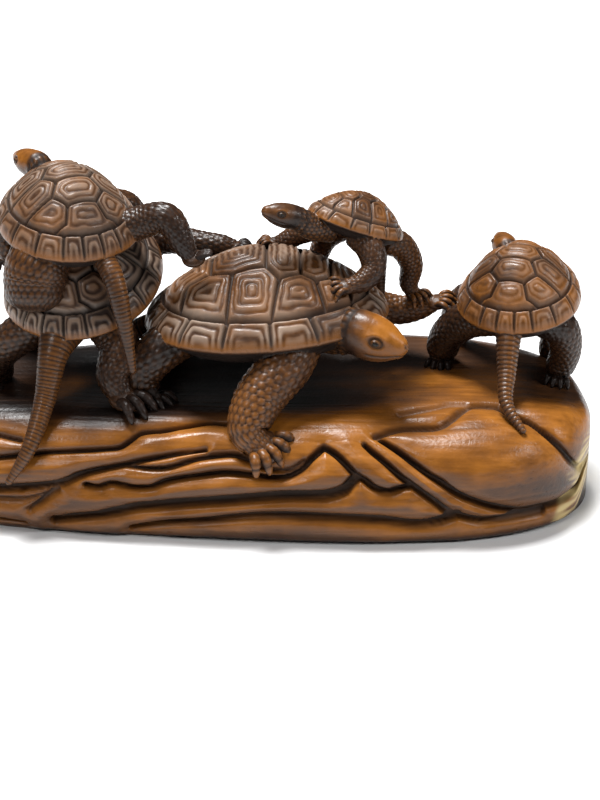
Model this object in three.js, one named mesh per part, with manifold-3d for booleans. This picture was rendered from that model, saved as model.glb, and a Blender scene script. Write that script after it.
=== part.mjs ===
// A carved boxwood ornament: five turtles climb over one another along a gnarled driftwood log.
// The whole group is cut from one block, so it is one solid. Millimetres, +Z up, the log along X,
// the show side at -Y, and the origin on the underside, below the middle of the log.
import * as THREE from "three";
import { mergeVertices } from "three/addons/utils/BufferGeometryUtils.js";
import Module from "manifold-3d";

const wasm = await Module();
wasm.setup();

// The log: its overall length, its greatest half depth and its height, with the height of its
// widest line and how far the underside would sweep down if it weren't cut off flat at zero.
const LOG = {
  length: 225,
  halfDepth: 42,
  height: 36,
  widestAt: 12,
  underSweep: 20,
  frontSquareness: 3,
  backSquareness: 3.9,
  broadestAt: 42,
  leftNarrowing: 0.32,
  noseTop: 25,
  noseWidest: 18,
  noseBottom: 9,
  noseTip: 18,
  skinOfFullSection: 130,
  stations: 32,
  skinSteps: 90,
  topRows: 2,
  topRelief: 0.6,
};

// Creases between the strands of wood, one above the other. Each is a line of [x, way up the skin
// from the bottom edge], cut to its depth between two places along the log and fading beyond them.
const FRONT_CREASES = [
  {
    line: [
      [-112, 5], [-60, 3], [-32, 4], [-23, 6], [-11, 7.7], [7, 10.3], [20, 10.7], [44, 9.6],
      [56, 8.1], [67, 8], [112, 4],
    ],
    depth: 2.3,
    cut: [-26, 66],
  },
  {
    line: [
      [-112, 9], [-56, 5.6], [-42, 8.2], [-30, 11.6], [-17, 13.6], [-2, 15.4], [16, 17.5],
      [28, 18.2], [36, 23.5], [42, 20.4], [46, 19.2], [53, 19.5], [60.5, 15.5], [65, 11.7],
      [70, 9.8], [81, 8.5], [112, 8],
    ],
    depth: 2.8,
    cut: [-50, 90],
  },
  {
    line: [
      [-112, 12], [-72, 13], [-46, 17.5], [-31, 18.4], [-21, 20.8], [-11, 22.9], [-3, 24.2],
      [6, 23.7], [16.5, 24], [20.4, 26.4], [26.8, 33.3], [31, 30.5], [36, 25.2], [42, 22],
      [46, 21], [53, 20.5], [60.5, 16.6], [65, 13], [70, 10.9], [81, 9.8], [112, 9],
    ],
    depth: 2.5,
    cut: [-40, 54],
  },
  {
    line: [
      [-112, 15], [-72, 15.8], [-54, 18.5], [-48, 21.3], [-34, 25.2], [-21, 27], [-6, 29.6],
      [4, 30], [18, 33], [26, 36], [36, 36.4], [39, 34.3], [45, 28.4], [49, 24.8], [56, 21.2],
      [60.5, 17.8], [65, 14.4], [70, 12.2], [81, 11], [112, 10],
    ],
    depth: 2.3,
    cut: [-80, 70],
  },
  {
    line: [
      [-112, 24], [-72, 26], [-48, 29], [-36, 31], [-29, 36], [-16, 39], [1, 40.6], [20, 39.8],
      [38, 38.6], [44, 36.1], [57, 26.5], [68, 19], [81, 13], [94, 12], [105, 13], [112, 18],
    ],
    depth: 3,
    cut: [-84, 104],
  },
  {
    line: [
      [-112, 44], [20, 46], [42, 42], [62, 43], [69, 46.8], [75, 49.5], [81, 48], [90, 38.4],
      [95, 33.8], [100, 29.2], [107, 21.5], [112, 20],
    ],
    depth: 1.9,
    cut: [54, 104],
  },
];

// The back's creases are fewer and plainer, measured up the skin from the back's bottom edge.
const BACK_CREASES = [
  { line: [[-112, 8], [-50, 12], [0, 11], [50, 15], [112, 10]], depth: 2.2, cut: [-92, 98] },
  { line: [[-112, 18], [-40, 21], [10, 19], [62, 23], [112, 18]], depth: 2, cut: [-90, 90] },
];
const STRAND_SWELL = { share: 0.13, most: 1.8 }; // how a strand stands out, by its breadth
const CREASE_RUNOUT = { before: 12, within: 6 }; // how far a crease fades outside and inside its cut

// Relief dies away over this share of the log's stations, and where the log is thinner than this.
const RELIEF_FADE = { ends: 1 / 6, halfDepth: 24 };

// Broad swellings and hollows of the wood, placed by x and by the way up the skin from the front.
const SWELLINGS = [
  { x: 82, skin: 27, along: 24, round: 10, rise: 1.6 },
  { x: 62, skin: 60, along: 26, round: 16, rise: 1 },
  { x: -12, skin: 68, along: 44, round: 17, rise: -2.6 },
];

// The top's far side is higher than its near side. Its crest is measured up the skin from the back.
const BACK_SHOULDER = { x: 20, behind: 37, along: 110, round: 13, rise: 5.5 };

// Plan of a shell, in shares of its half length p and half width q. The ring inside the marginal
// plates lies at innerRing, and the marginal plates meet at these angles, in degrees, on each side.
const SHELL = {
  innerRing: 0.83,
  seams: [12, 33, 54, 86, 112, 142, 168],
  plateInset: 0.8,
  plateRise: 0.05,
  seamDepth: 0.035,
  frontNarrowing: 0.08,
  edgeThickness: 0.055,
  lowerEdge: 0.985,
  under: [[0.76, 0.36]],
  bellyDepth: 0.44,
};

// Corners of the spine's plates and of the flanks', on shells with narrow and with broad spine plates.
const NARROW_PLATES = {
  spine: [[0.5, 0.22], [0.18, 0.24], [-0.18, 0.24], [-0.52, 0.2]],
  flanks: [[0.66, 0.31], [0.35, 0.36], [0, 0.38], [-0.35, 0.36], [-0.68, 0.28]],
};
const BROAD_PLATES = {
  spine: [[0.54, 0.36], [0.3, 0.45], [0.03, 0.39], [-0.42, 0.28]],
  flanks: [[0.68, 0.42], [0.42, 0.5], [0.13, 0.57], [-0.24, 0.42], [-0.62, 0.26]],
};

// A skull, as [way from the middle to the nose, share of the full width and height], and its eyes.
const SKULL = [[-0.5, 0.96], [0, 1.03], [0.46, 0.87], [0.8, 0.6], [0.98, 0.3]];
const EYE = { radius: 0.3, ahead: 0.34, aside: 0.72, above: 0.26 };

// A foot, in shares of its size: heights over its middle, reaches from it, and angles in radians.
const FOOT = {
  top: 0.42,
  bottom: -0.34,
  spread: 2.1,
  notch: { reach: 0.62, height: -0.02 },
  knuckle: { reach: 0.84, height: 0.24 },
  sole: { reach: 0.92, height: -0.22 },
  claw: { reach: 1.42, height: -0.2 },
  toeNarrowing: 0.94,
  heel: { reach: 0.58, angles: [1.5, 2.5, 3.78, 4.78] },
  ankle: 0.4,
};

// The turtles. Each shell has its centre at the height of its rim, a heading in degrees turned
// left from +X, a nose-up pitch, a roll that lowers its left side, its length, width and dome.
// Heads, limbs and tails run along hand-placed points, with a radius at each point.
const TURTLES = [
  {
    name: "great middle turtle",
    shell: {
      centre: [9, 2, 59.5], heading: 0, pitch: 3, roll: 0, length: 77, width: 58, dome: 20.5,
      plates: BROAD_PLATES, edgeSteps: 2,
    },
    head: {
      neck: [[22, 0, 55], [32.5, -8, 57]], neckRadius: 7, centre: [41.2, -17.5, 59.3],
      nose: [50.6, -22, 57.4], wide: 6.7, high: 7.5,
    },
    limbs: [
      {
        path: [[20, -8, 55], [15.5, -19, 51], [6.5, -27, 42], [4, -32.5, 34]], radii: [7, 7.8, 7.4, 6],
        foot: { centre: [8, -34.3, 30.8], toward: [0.7, -0.5, -0.5], up: [0.1, -0.6, 0.8], size: 8.4 },
      },
      {
        path: [[-16, -6, 56], [-24, -11, 52], [-29.5, -12, 44], [-29, -12, 37]], radii: [7, 6.8, 5.6, 5],
        foot: { centre: [-27, -12.5, 36], toward: [0.7, -0.6, -0.2], up: [0, -0.1, 1], size: 6 },
      },
      {
        path: [[26, 12, 56], [40, 19, 55], [53, 20, 53], [60, 18, 55.5]], radii: [6.5, 5.6, 4.4, 3.8],
        foot: { centre: [63, 16.5, 57], toward: [0.95, -0.25, 0.1], up: [-0.1, -0.2, 1], size: 5.4 },
      },
      {
        path: [[-14, 14, 56], [-22, 22, 50], [-27, 26, 41], [-26, 27, 35]], radii: [6.5, 6.4, 5.4, 5],
        foot: { centre: [-24, 27.5, 35], toward: [0.8, 0.5, -0.2], up: [0, 0.2, 1], size: 6.4, toes: 3 },
      },
    ],
    tail: { path: [[-24, 3, 56], [-33, 5, 52], [-38, 8, 45]], radii: [4, 3, 1.4] },
  },
  {
    name: "top left turtle",
    shell: {
      centre: [-52.5, 4.5, 89.5], heading: 116, pitch: 10, roll: 0, length: 50, width: 43, dome: 18,
      plates: NARROW_PLATES, edgeSteps: 1,
    },
    head: {
      neck: [[-57, 14, 90], [-61, 20, 95]], neckRadius: 4.6, centre: [-65.6, 27, 100.4],
      nose: [-71, 34, 100], wide: 4.5, high: 4.4,
    },
    limbs: [
      {
        path: [[-40, -2, 87], [-29, -1, 90.5], [-21, -3.5, 92.5], [-16.5, -6, 86]], radii: [5.4, 5, 4.6, 3.8],
        foot: { centre: [-13.5, -7.5, 81], toward: [0.95, -0.2, 0.1], up: [-0.1, -0.4, 0.9], size: 5.2, toes: 3 },
      },
      {
        path: [[-54, -6, 86], [-59.5, -10, 80.5], [-61.5, -11.4, 76.3]], radii: [7.6, 9, 7.8],
        foot: { centre: [-61.2, -13.6, 72.1], toward: [-0.1, -0.6, -0.8], up: [0, -0.8, 0.6], size: 6.4 },
      },
      {
        path: [[-44, 18, 90], [-36, 24, 87], [-33, 26, 82]], radii: [4.8, 4.6, 4],
        foot: { centre: [-32, 27, 80], toward: [0.7, 0.5, -0.3], up: [0.2, 0.3, 1], size: 4.8, toes: 3 },
      },
      {
        path: [[-66, 10, 88], [-73, 12, 83], [-72, 12, 76]], radii: [4.8, 4.6, 4],
        foot: { centre: [-71, 12, 74], toward: [-0.6, 0.5, -0.5], up: [-0.6, 0.1, 0.8], size: 4.8, toes: 3 },
      },
    ],
    tail: {
      path: [[-41, -10, 84], [-36.5, -17, 78], [-34, -20.5, 68], [-31.5, -22, 50]],
      radii: [3.4, 3.2, 2.6, 1],
    },
  },
  {
    name: "left turtle underneath",
    shell: {
      centre: [-48, 6.5, 70], heading: 72, pitch: 22, roll: 0, length: 56, width: 50, dome: 17,
      plates: NARROW_PLATES, edgeSteps: 1,
    },
    head: {
      neck: [[-43, 20, 71], [-42, 26, 73]], neckRadius: 4.6, centre: [-42.5, 32.5, 72],
      nose: [-45, 39, 69], wide: 4.8, high: 4.8,
    },
    limbs: [
      {
        path: [[-42, -4, 60], [-36.5, -9, 52.5], [-38, -14, 44]], radii: [6.6, 6.4, 5.4],
        foot: { centre: [-35, -17, 38.6], toward: [0.8, -0.5, -0.2], up: [0.1, -0.2, 1], size: 8.4 },
      },
      {
        path: [[-60, -4, 60], [-70, -4, 53], [-76, 0, 45], [-77, 3, 37]], radii: [6.2, 6, 5, 4.6],
        foot: { centre: [-78, 1, 34.5], toward: [-0.4, -0.8, -0.3], up: [0, -0.1, 1], size: 6.2 },
      },
      {
        path: [[-34, 22, 74], [-24, 22, 76.5], [-11, 18, 76.5], [-3, 16.5, 76]], radii: [5.2, 4.6, 3.8, 3.4],
        foot: { centre: [-1, 16.2, 76], toward: [0.95, -0.1, -0.1], up: [0, 0, 1], size: 4.4 },
      },
      {
        path: [[-60, 20, 70], [-68, 26, 59], [-70, 28, 46], [-69, 28, 35]], radii: [5.6, 5.4, 4.8, 4.4],
        foot: { centre: [-68, 28, 33.5], toward: [0.1, 0.9, -0.3], up: [0, 0.3, 1], size: 5.8, toes: 3 },
      },
    ],
    tail: {
      path: [[-53, -8, 61], [-56, -17.5, 54], [-58.5, -24, 41.5], [-63, -33, 29], [-69.5, -36, 19]],
      radii: [6.4, 4.6, 3.3, 2.3, 1],
    },
  },
  {
    name: "small turtle on the great one",
    shell: {
      centre: [36.8, 8, 87.2], heading: 203, pitch: 21, roll: 0, length: 33, width: 24, dome: 9.5,
      plates: NARROW_PLATES, edgeSteps: 1,
    },
    head: {
      neck: [[29, 4, 86.5], [23, 0, 88.8]], neckRadius: 4.1, centre: [15, -3.8, 93.6],
      nose: [8.7, -6, 95.8], wide: 3.7, high: 3.9,
    },
    limbs: [
      {
        path: [[37.5, 4, 84.5], [41, -1, 82], [42, -4.5, 76.5], [38, -7.5, 73.2]],
        radii: [4.4, 4.3, 3.7, 3.2],
        foot: { centre: [33.8, -8.5, 72.4], toward: [-0.9, -0.25, -0.2], up: [-0.1, -0.35, 0.9], size: 5 },
      },
      {
        path: [[27, 10, 85], [20, 13, 82], [14, 13, 79]], radii: [3.6, 3.4, 2.8],
        foot: { centre: [11, 13, 78.6], toward: [-0.95, -0.05, -0.1], up: [0, 0, 1], size: 4 },
      },
      {
        path: [[46, 12, 80], [51.5, 14.5, 77], [55, 16.5, 70], [54.5, 17.5, 63]], radii: [4.4, 4.2, 3.6, 3],
        foot: { centre: [56, 17, 59.8], toward: [0.6, -0.6, -0.4], up: [0.1, -0.3, 0.9], size: 4.6 },
      },
      {
        path: [[34, 16, 83], [28, 19, 78], [25, 20, 71]], radii: [3.8, 3.6, 3],
        foot: { centre: [24, 20, 68.5], toward: [-0.4, 0.8, -0.4], up: [0, 0.5, 0.9], size: 4.4, toes: 3 },
      },
    ],
    tail: { path: [[45, 14, 79], [45, 16.5, 72], [45.5, 18, 58]], radii: [2.8, 2.2, 1.2] },
  },
  {
    name: "right turtle",
    shell: {
      centre: [89.5, 11, 62], heading: 72, pitch: 10, roll: -2, length: 45, width: 39, dome: 16,
      plates: NARROW_PLATES, edgeSteps: 1,
    },
    head: {
      neck: [[91, 22, 62], [89, 29, 65.5]], neckRadius: 4.2, centre: [86.5, 34.5, 69.5],
      nose: [83, 39, 70], wide: 4, high: 4.2,
    },
    limbs: [
      {
        path: [[82, 2, 58], [73, 8, 54.5], [67, 13, 47], [65.5, 15, 40]], radii: [5.8, 6, 5.4, 5],
        foot: { centre: [65, 14, 37], toward: [-0.3, -0.9, -0.2], up: [0, -0.1, 1], size: 5 },
      },
      {
        path: [[96, 0, 58], [101.5, 1, 54.5], [104, 3.5, 46], [102.5, 5.5, 38]],
        radii: [5.6, 5.6, 4.8, 4.4],
        foot: { centre: [102, 4.5, 35.2], toward: [-0.2, -0.9, -0.3], up: [0.1, -0.1, 1], size: 4.8 },
      },
      {
        path: [[82, 20, 58], [74, 27, 54], [71, 31, 46], [71, 32, 37]], radii: [5.2, 5, 4.6, 4.2],
        foot: { centre: [71, 32.5, 34], toward: [-0.6, 0.7, -0.3], up: [0, 0.2, 1], size: 5.6, toes: 3 },
      },
      {
        path: [[99, 18, 58], [103.5, 23, 54], [104, 25, 45], [102.5, 25, 36]], radii: [5.2, 5, 4.6, 4.2],
        foot: { centre: [102, 26, 32.5], toward: [0.3, 0.9, -0.3], up: [0.1, 0.3, 1], size: 5.6, toes: 3 },
      },
    ],
    tail: {
      path: [[85.5, 0, 59], [84.5, -6, 56], [83.5, -14, 46], [83, -22, 39], [87.5, -30, 33.5]],
      radii: [4, 3.5, 2.7, 2, 1],
    },
  },
];

// How finely the rounded forms are faceted.
const FACETS = {
  thickLimbSides: 6,
  thinLimbSides: 5,
  limbSteps: 4,
  neckSides: 6,
  tailSides: 5,
  toes: 4,
  eyeSides: 4,
};

const TIP_GAP = 0.05; // how far the first and last sections of the log lie from its tips
const DEGREE = Math.PI / 180;
const UP = new THREE.Vector3(0, 0, 1);
const vector = ([x, y, z]) => new THREE.Vector3(x, y, z);
const bell = (t) => Math.exp(-t * t);
const power = (t, exponent) => Math.sign(t) * Math.abs(t) ** exponent;

// Turns a closed mesh into a solid, with its faces pointing out whichever way they were listed.
function solidOf(points, faces) {
  let volume = 0;
  const side = new THREE.Vector3();
  for (const [a, b, c] of faces) {
    volume += side.crossVectors(points[b], points[c]).dot(points[a]);
  }
  const turned = volume < 0 ? faces.map(([a, b, c]) => [a, c, b]) : faces;
  const geometry = new THREE.BufferGeometry().setFromPoints(points);
  geometry.setIndex(turned.flat());
  const merged = mergeVertices(geometry, 1e-5);
  return new wasm.Manifold(new wasm.Mesh({
    numProp: 3,
    vertProperties: new Float32Array(merged.attributes.position.array),
    triVerts: new Uint32Array(merged.index.array),
  }));
}

// Skins a row of rings that have the same number of points, and closes both ends to a point.
function loft(rings, firstTip, lastTip) {
  const around = rings[0].length;
  const points = [...rings.flat(), firstTip, lastTip];
  const faces = [];
  for (let i = 0; i < around; i++) {
    const next = (i + 1) % around;
    for (let row = 0; row + 1 < rings.length; row++) {
      const here = row * around;
      const beyond = here + around;
      faces.push([here + i, here + next, beyond + next], [here + i, beyond + next, beyond + i]);
    }
    const last = (rings.length - 1) * around;
    faces.push([points.length - 2, next, i]);
    faces.push([points.length - 1, last + i, last + next]);
  }
  return solidOf(points, faces);
}

// A bending tube through points, with a [half width, half height] section at each of them.
function tube(path, sections, sides, steps, endRound = 0.6) {
  const curve = new THREE.CatmullRomCurve3(path, false, "centripetal");
  const rings = [];
  const centres = [];
  const spans = path.length - 1;
  let across = null;
  for (let i = 0; i <= steps; i++) {
    const t = i / steps;
    const centre = curve.getPoint(t);
    const along = curve.getTangent(t);
    if (across === null) {
      across = new THREE.Vector3().crossVectors(UP, along);
      if (across.length() < 0.2) across.set(1, 0, 0);
    }
    across.addScaledVector(along, -across.dot(along)).normalize();
    const over = new THREE.Vector3().crossVectors(along, across);
    const from = Math.min(Math.floor(t * spans), spans - 1);
    const share = t * spans - from;
    const wide = THREE.MathUtils.lerp(sections[from][0], sections[from + 1][0], share);
    const high = THREE.MathUtils.lerp(sections[from][1], sections[from + 1][1], share);
    const ring = [];
    for (let side = 0; side < sides; side++) {
      const angle = (2 * Math.PI * (side + 0.5)) / sides;
      const point = centre.clone().addScaledVector(across, wide * Math.cos(angle));
      ring.push(point.addScaledVector(over, high * Math.sin(angle)));
    }
    rings.push(ring);
    centres.push({ centre, along, reach: Math.min(wide, high) * endRound });
  }
  const first = centres[0];
  const last = centres[steps];
  const firstTip = first.centre.clone().addScaledVector(first.along, -first.reach);
  const lastTip = last.centre.clone().addScaledVector(last.along, last.reach);
  return loft(rings, firstTip, lastTip);
}

const round = (radii) => radii.map((radius) => [radius, radius]);

// Height of a shell's dome over its rim, as a share of the full dome, at a share r of the way out.
function domeShare(r) {
  const inside = Math.max(0, 1 - r * r);
  return 0.5 * inside ** 0.7 + 0.5 * inside ** 1.3;
}

// The axes that a shell's own plan and heights are laid along.
function shellAxes({ heading, pitch, roll }) {
  const turn = new THREE.Euler(roll * DEGREE, -pitch * DEGREE, heading * DEGREE, "ZYX");
  return new THREE.Matrix4().makeRotationFromEuler(turn);
}

// A shell: raised plates between sunk seams above, and a flat-bottomed belly below.
function shellSolid(shell) {
  const { centre, length, width, dome, plates: plan, edgeSteps } = shell;
  const place = shellAxes(shell).setPosition(vector(centre));
  const points = [];
  const add = (p, q, height) => {
    const x = (length / 2) * p;
    const y = (width / 2) * q * (1 - SHELL.frontNarrowing * p);
    points.push(new THREE.Vector3(x, y, height).applyMatrix4(place));
    return points.length - 1;
  };
  const onDome = (p, q, lift) => add(p, q, dome * (domeShare(Math.hypot(p, q)) + lift));

  // Angles right round the shell: the seams, and on a large shell one more point between each pair.
  const seams = [...SHELL.seams, ...SHELL.seams.map((angle) => 360 - angle).reverse()];
  const angles = seams.flatMap((angle, i) => {
    const next = i + 1 < seams.length ? seams[i + 1] : seams[0] + 360;
    return edgeSteps === 2 ? [angle, (angle + next) / 2] : [angle];
  });
  const around = angles.length;
  const circle = (share, toPoint) =>
    angles.map((angle) => toPoint(share * Math.cos(angle * DEGREE), share * Math.sin(angle * DEGREE)));
  const seam = (p, q) => ({ p, q, index: onDome(p, q, -SHELL.seamDepth) });
  const inner = circle(SHELL.innerRing, seam);
  const edge = circle(1, seam);
  const spine = [1, -1].map((side) => plan.spine.map(([p, q]) => seam(p, side * q)));
  const flanks = [1, -1].map((side) => plan.flanks.map(([p, q]) => seam(p, side * q)));
  const arc = (from, to) => {
    const run = [];
    for (let i = from; i <= to; i++) run.push(inner[(i + around) % around]);
    return run;
  };

  // Each plate is the loop of seam points round it, in order.
  const plates = [];
  for (let i = 0; i < around; i += edgeSteps) {
    const run = [...Array(edgeSteps + 1).keys()].map((step) => (i + step) % around);
    plates.push([...run.map((k) => inner[k]), ...run.reverse().map((k) => edge[k])]);
  }
  const half = around / 2;
  for (let n = 0; n < 4; n++) {
    const left = arc(edgeSteps * (n + 1), edgeSteps * (n + 2)).reverse();
    const right = arc(around - edgeSteps * (n + 3), around - edgeSteps * (n + 2)).reverse();
    plates.push([flanks[0][n], spine[0][n], flanks[0][n + 1], ...left]);
    plates.push([flanks[1][n + 1], spine[1][n], flanks[1][n], ...right]);
    if (n < 3) {
      const leftSide = [spine[0][n + 1], flanks[0][n + 1], spine[0][n]];
      plates.push([spine[1][n], flanks[1][n + 1], spine[1][n + 1], ...leftSide]);
    }
  }
  const front = arc(-2 * edgeSteps, edgeSteps);
  const rear = arc(half - 2 * edgeSteps, half + edgeSteps);
  plates.push([spine[0][0], flanks[0][0], ...front.reverse(), flanks[1][0], spine[1][0]]);
  plates.push([spine[1][3], flanks[1][4], ...rear.reverse(), flanks[0][4], spine[0][3]]);

  const faces = [];
  for (const plate of plates) {
    const p0 = plate.reduce((sum, corner) => sum + corner.p, 0) / plate.length;
    const q0 = plate.reduce((sum, corner) => sum + corner.q, 0) / plate.length;
    const raised = plate.map(({ p, q }) => {
      const share = SHELL.plateInset;
      return onDome(p0 + (p - p0) * share, q0 + (q - q0) * share, SHELL.plateRise);
    });
    plate.forEach((corner, i) => {
      const j = (i + 1) % plate.length;
      faces.push([corner.index, raised[i], plate[j].index]);
      faces.push([plate[j].index, raised[i], raised[j]]);
      if (i > 0 && j > 0) faces.push([raised[i], raised[0], raised[j]]);
    });
  }

  // Below the edge: its thickness, then the rings of the belly, every second point of the edge.
  const drop = -dome * (SHELL.edgeThickness + SHELL.seamDepth);
  let above = edge.map((corner) => corner.index);
  const lower = circle(SHELL.lowerEdge, (p, q) => add(p, q, drop));
  const join = (outer, next) => {
    for (let i = 0; i < around; i++) {
      const j = (i + 1) % around;
      faces.push([outer[j], outer[i], next[i]]);
      faces.push([outer[j], next[i], next[j]]);
    }
  };
  join(above, lower);
  above = lower;
  for (const [share, depth] of SHELL.under) {
    const ring = circle(share, (p, q) => add(p, q, -dome * depth));
    join(above, ring);
    above = ring;
  }
  const bottom = add(0, 0, -dome * SHELL.bellyDepth);
  for (let i = 0; i < around; i++) faces.push([above[(i + 1) % around], above[i], bottom]);
  return solidOf(points, faces);
}

// A head on its neck, with a blunt snout and an eye that swells on each side.
function headSolid({ neck, neckRadius, centre, nose, wide, high }) {
  const middle = vector(centre);
  const ahead = vector(nose).sub(middle);
  const reach = ahead.length();
  ahead.normalize();
  const path = neck.map(vector);
  const sections = round(neck.map(() => neckRadius));
  for (const [way, share] of SKULL) {
    path.push(middle.clone().addScaledVector(ahead, way * reach));
    sections.push([wide * share, high * share]);
  }
  const skull = tube(path, sections, FACETS.neckSides, path.length + 2, 0.8);
  const across = new THREE.Vector3().crossVectors(UP, ahead).normalize();
  const above = new THREE.Vector3().crossVectors(ahead, across);
  const eyes = [1, -1].map((side) => {
    const eye = new THREE.SphereGeometry(wide * EYE.radius, FACETS.eyeSides, FACETS.eyeSides - 1);
    eye.deleteAttribute("normal");
    eye.deleteAttribute("uv");
    const at = middle.clone().addScaledVector(ahead, reach * EYE.ahead);
    at.addScaledVector(across, side * wide * EYE.aside).addScaledVector(above, high * EYE.above);
    eye.translate(at.x, at.y, at.z);
    return fromGeometry(eye);
  });
  return [skull, ...eyes];
}

// A three.js geometry as a solid, with its doubled points and collapsed faces taken out.
function fromGeometry(geometry) {
  const merged = mergeVertices(geometry, 1e-4);
  const position = merged.attributes.position;
  const points = [];
  for (let i = 0; i < position.count; i++) points.push(new THREE.Vector3().fromBufferAttribute(position, i));
  const faces = [];
  for (let i = 0; i < merged.index.count; i += 3) {
    const [a, b, c] = [0, 1, 2].map((k) => merged.index.getX(i + k));
    if (a !== b && b !== c && c !== a) faces.push([a, b, c]);
  }
  return solidOf(points, faces);
}

// A foot: a low palm whose front edge runs out into toes, each with a raised knuckle, between notches.
function footSolid({ centre, toward, up, size, toes = FACETS.toes }) {
  const normal = vector(up).normalize();
  const ahead = vector(toward);
  ahead.addScaledVector(normal, -ahead.dot(normal)).normalize();
  const across = new THREE.Vector3().crossVectors(normal, ahead);
  const points = [];
  const add = (reach, angle, height) => {
    const point = vector(centre).addScaledVector(ahead, reach * Math.cos(angle) * size);
    point.addScaledVector(across, reach * Math.sin(angle) * size).addScaledVector(normal, height * size);
    points.push(point);
    return points.length - 1;
  };
  const put = ({ reach, height }, angle) => add(reach, angle, height);
  const top = add(0, 0, FOOT.top);
  const bottom = add(0, 0, FOOT.bottom);
  const faces = [];
  const notches = [];
  for (let i = 0; i <= toes; i++) notches.push(put(FOOT.notch, (i / toes - 0.5) * FOOT.spread));
  for (let i = 0; i < toes; i++) {
    const angle = ((i + 0.5) / toes - 0.5) * FOOT.spread * FOOT.toeNarrowing;
    const knuckle = put(FOOT.knuckle, angle);
    const sole = put(FOOT.sole, angle);
    const claw = put(FOOT.claw, angle * FOOT.toeNarrowing);
    const [from, to] = [notches[i], notches[i + 1]];
    faces.push([top, from, knuckle], [top, knuckle, to], [from, claw, knuckle], [knuckle, claw, to]);
    faces.push([bottom, sole, from], [bottom, to, sole], [from, sole, claw], [to, claw, sole]);
  }
  const heel = FOOT.heel.angles.map((angle) => add(FOOT.heel.reach, angle, 0));
  const rim = [notches[toes], ...heel, notches[0]];
  for (let i = 0; i + 1 < rim.length; i++) {
    faces.push([top, rim[i], rim[i + 1]], [bottom, rim[i + 1], rim[i]]);
  }
  return solidOf(points, faces);
}

function turtleSolids({ shell, head, limbs, tail }) {
  const solids = [shellSolid(shell), ...headSolid(head)];
  for (const { path, radii, foot } of limbs) {
    const [inFoot, ankle] = [vector(foot.centre), foot.size * FOOT.ankle];
    const sides = radii[0] > 5.5 ? FACETS.thickLimbSides : FACETS.thinLimbSides;
    solids.push(tube([...path.map(vector), inFoot], round([...radii, ankle]), sides, FACETS.limbSteps));
    solids.push(footSolid(foot));
  }
  const tailSteps = tail.path.length + 1;
  solids.push(tube(tail.path.map(vector), round(tail.radii), FACETS.tailSides, tailSteps, 0.9));
  return solids;
}

// The log's plain outline at one place along it, as [y, z] from the front's bottom edge over the top
// to the back's bottom edge, with the way up the skin to each point.
function logOutline(x) {
  const half = LOG.length / 2;
  const end = Math.min(1, Math.abs(x) / half);
  const lean = Math.max(0, (LOG.broadestAt - x) / (half + LOG.broadestAt));
  const depth = LOG.halfDepth * (1 - LOG.leftNarrowing * lean ** 1.4) * (1 - end ** 5) ** 0.5;
  const top = THREE.MathUtils.lerp(LOG.noseTop, LOG.height, (1 - end ** 8) ** 0.5);
  const lift = THREE.MathUtils.smoothstep(end, 0.94, 1);
  const widest = THREE.MathUtils.lerp(LOG.widestAt, LOG.noseWidest, lift);
  const sweep = (widest - LOG.noseBottom * lift) * (LOG.underSweep / LOG.widestAt);
  const [front, back] = [LOG.frontSquareness, LOG.backSquareness];
  const lowest = [front, back].map((square) => Math.asin((LOG.widestAt / LOG.underSweep) ** (square / 2)));
  const steps = LOG.skinSteps;
  const points = [];
  const skin = [];
  for (let i = 0; i <= steps; i++) {
    const angle = THREE.MathUtils.lerp(-lowest[0], Math.PI + lowest[1], i / steps);
    const square = angle < Math.PI / 2 ? front : back;
    const rise = power(Math.sin(angle), 2 / square);
    const y = -depth * power(Math.cos(angle), 2 / square);
    points.push(new THREE.Vector2(y, widest + rise * (rise > 0 ? top - widest : sweep)));
    skin.push(i === 0 ? 0 : skin[i - 1] + points[i].distanceTo(points[i - 1]));
  }
  return { points, skin, whole: skin[steps], depth };
}

// A line of [x, value] read at one x.
function readAt(line, x) {
  const next = line.findIndex(([at]) => at >= x);
  if (next <= 0) return next === 0 ? line[0][1] : line[line.length - 1][1];
  const [[x0, v0], [x1, v1]] = [line[next - 1], line[next]];
  return v0 + ((v1 - v0) * (x - x0)) / (x1 - x0);
}

// How deep a crease is cut at one x.
function cutDepth({ depth, cut: [from, to] }, x) {
  const { before, within } = CREASE_RUNOUT;
  const start = THREE.MathUtils.smoothstep(x, from - before, from + within);
  return depth * start * (1 - THREE.MathUtils.smoothstep(x, to - within, to + before));
}

// The rows of skin at one x, each with its way up the skin and how far it stands out or is cut in:
// a row in each crease and one along the crown of each strand between them.
function logRows(x, whole, front, back) {
  const rows = [{ skin: 0, relief: 0 }];
  const strand = (to, relief) => {
    const from = rows[rows.length - 1].skin;
    const swell = Math.min(STRAND_SWELL.most, (to - from) * STRAND_SWELL.share);
    rows.push({ skin: (from + to) / 2, relief: swell }, { skin: to, relief });
  };
  const share = Math.min(1, whole / LOG.skinOfFullSection);
  for (const crease of front) strand(readAt(crease.line, x) * share, -cutDepth(crease, x));
  const [low, high] = back.map((crease) => whole - readAt(crease.line, x) * share);
  const last = rows[rows.length - 1].skin;
  const shoulder = whole - BACK_SHOULDER.behind * share;
  for (let row = 1; row <= LOG.topRows + 1; row++) {
    rows.push({ skin: THREE.MathUtils.lerp(last, shoulder, row / (LOG.topRows + 1)), relief: LOG.topRelief });
  }
  rows.push({ skin: high, relief: -cutDepth(back[1], x) });
  strand(low, -cutDepth(back[0], x));
  strand(whole, 0);
  return rows;
}

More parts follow.
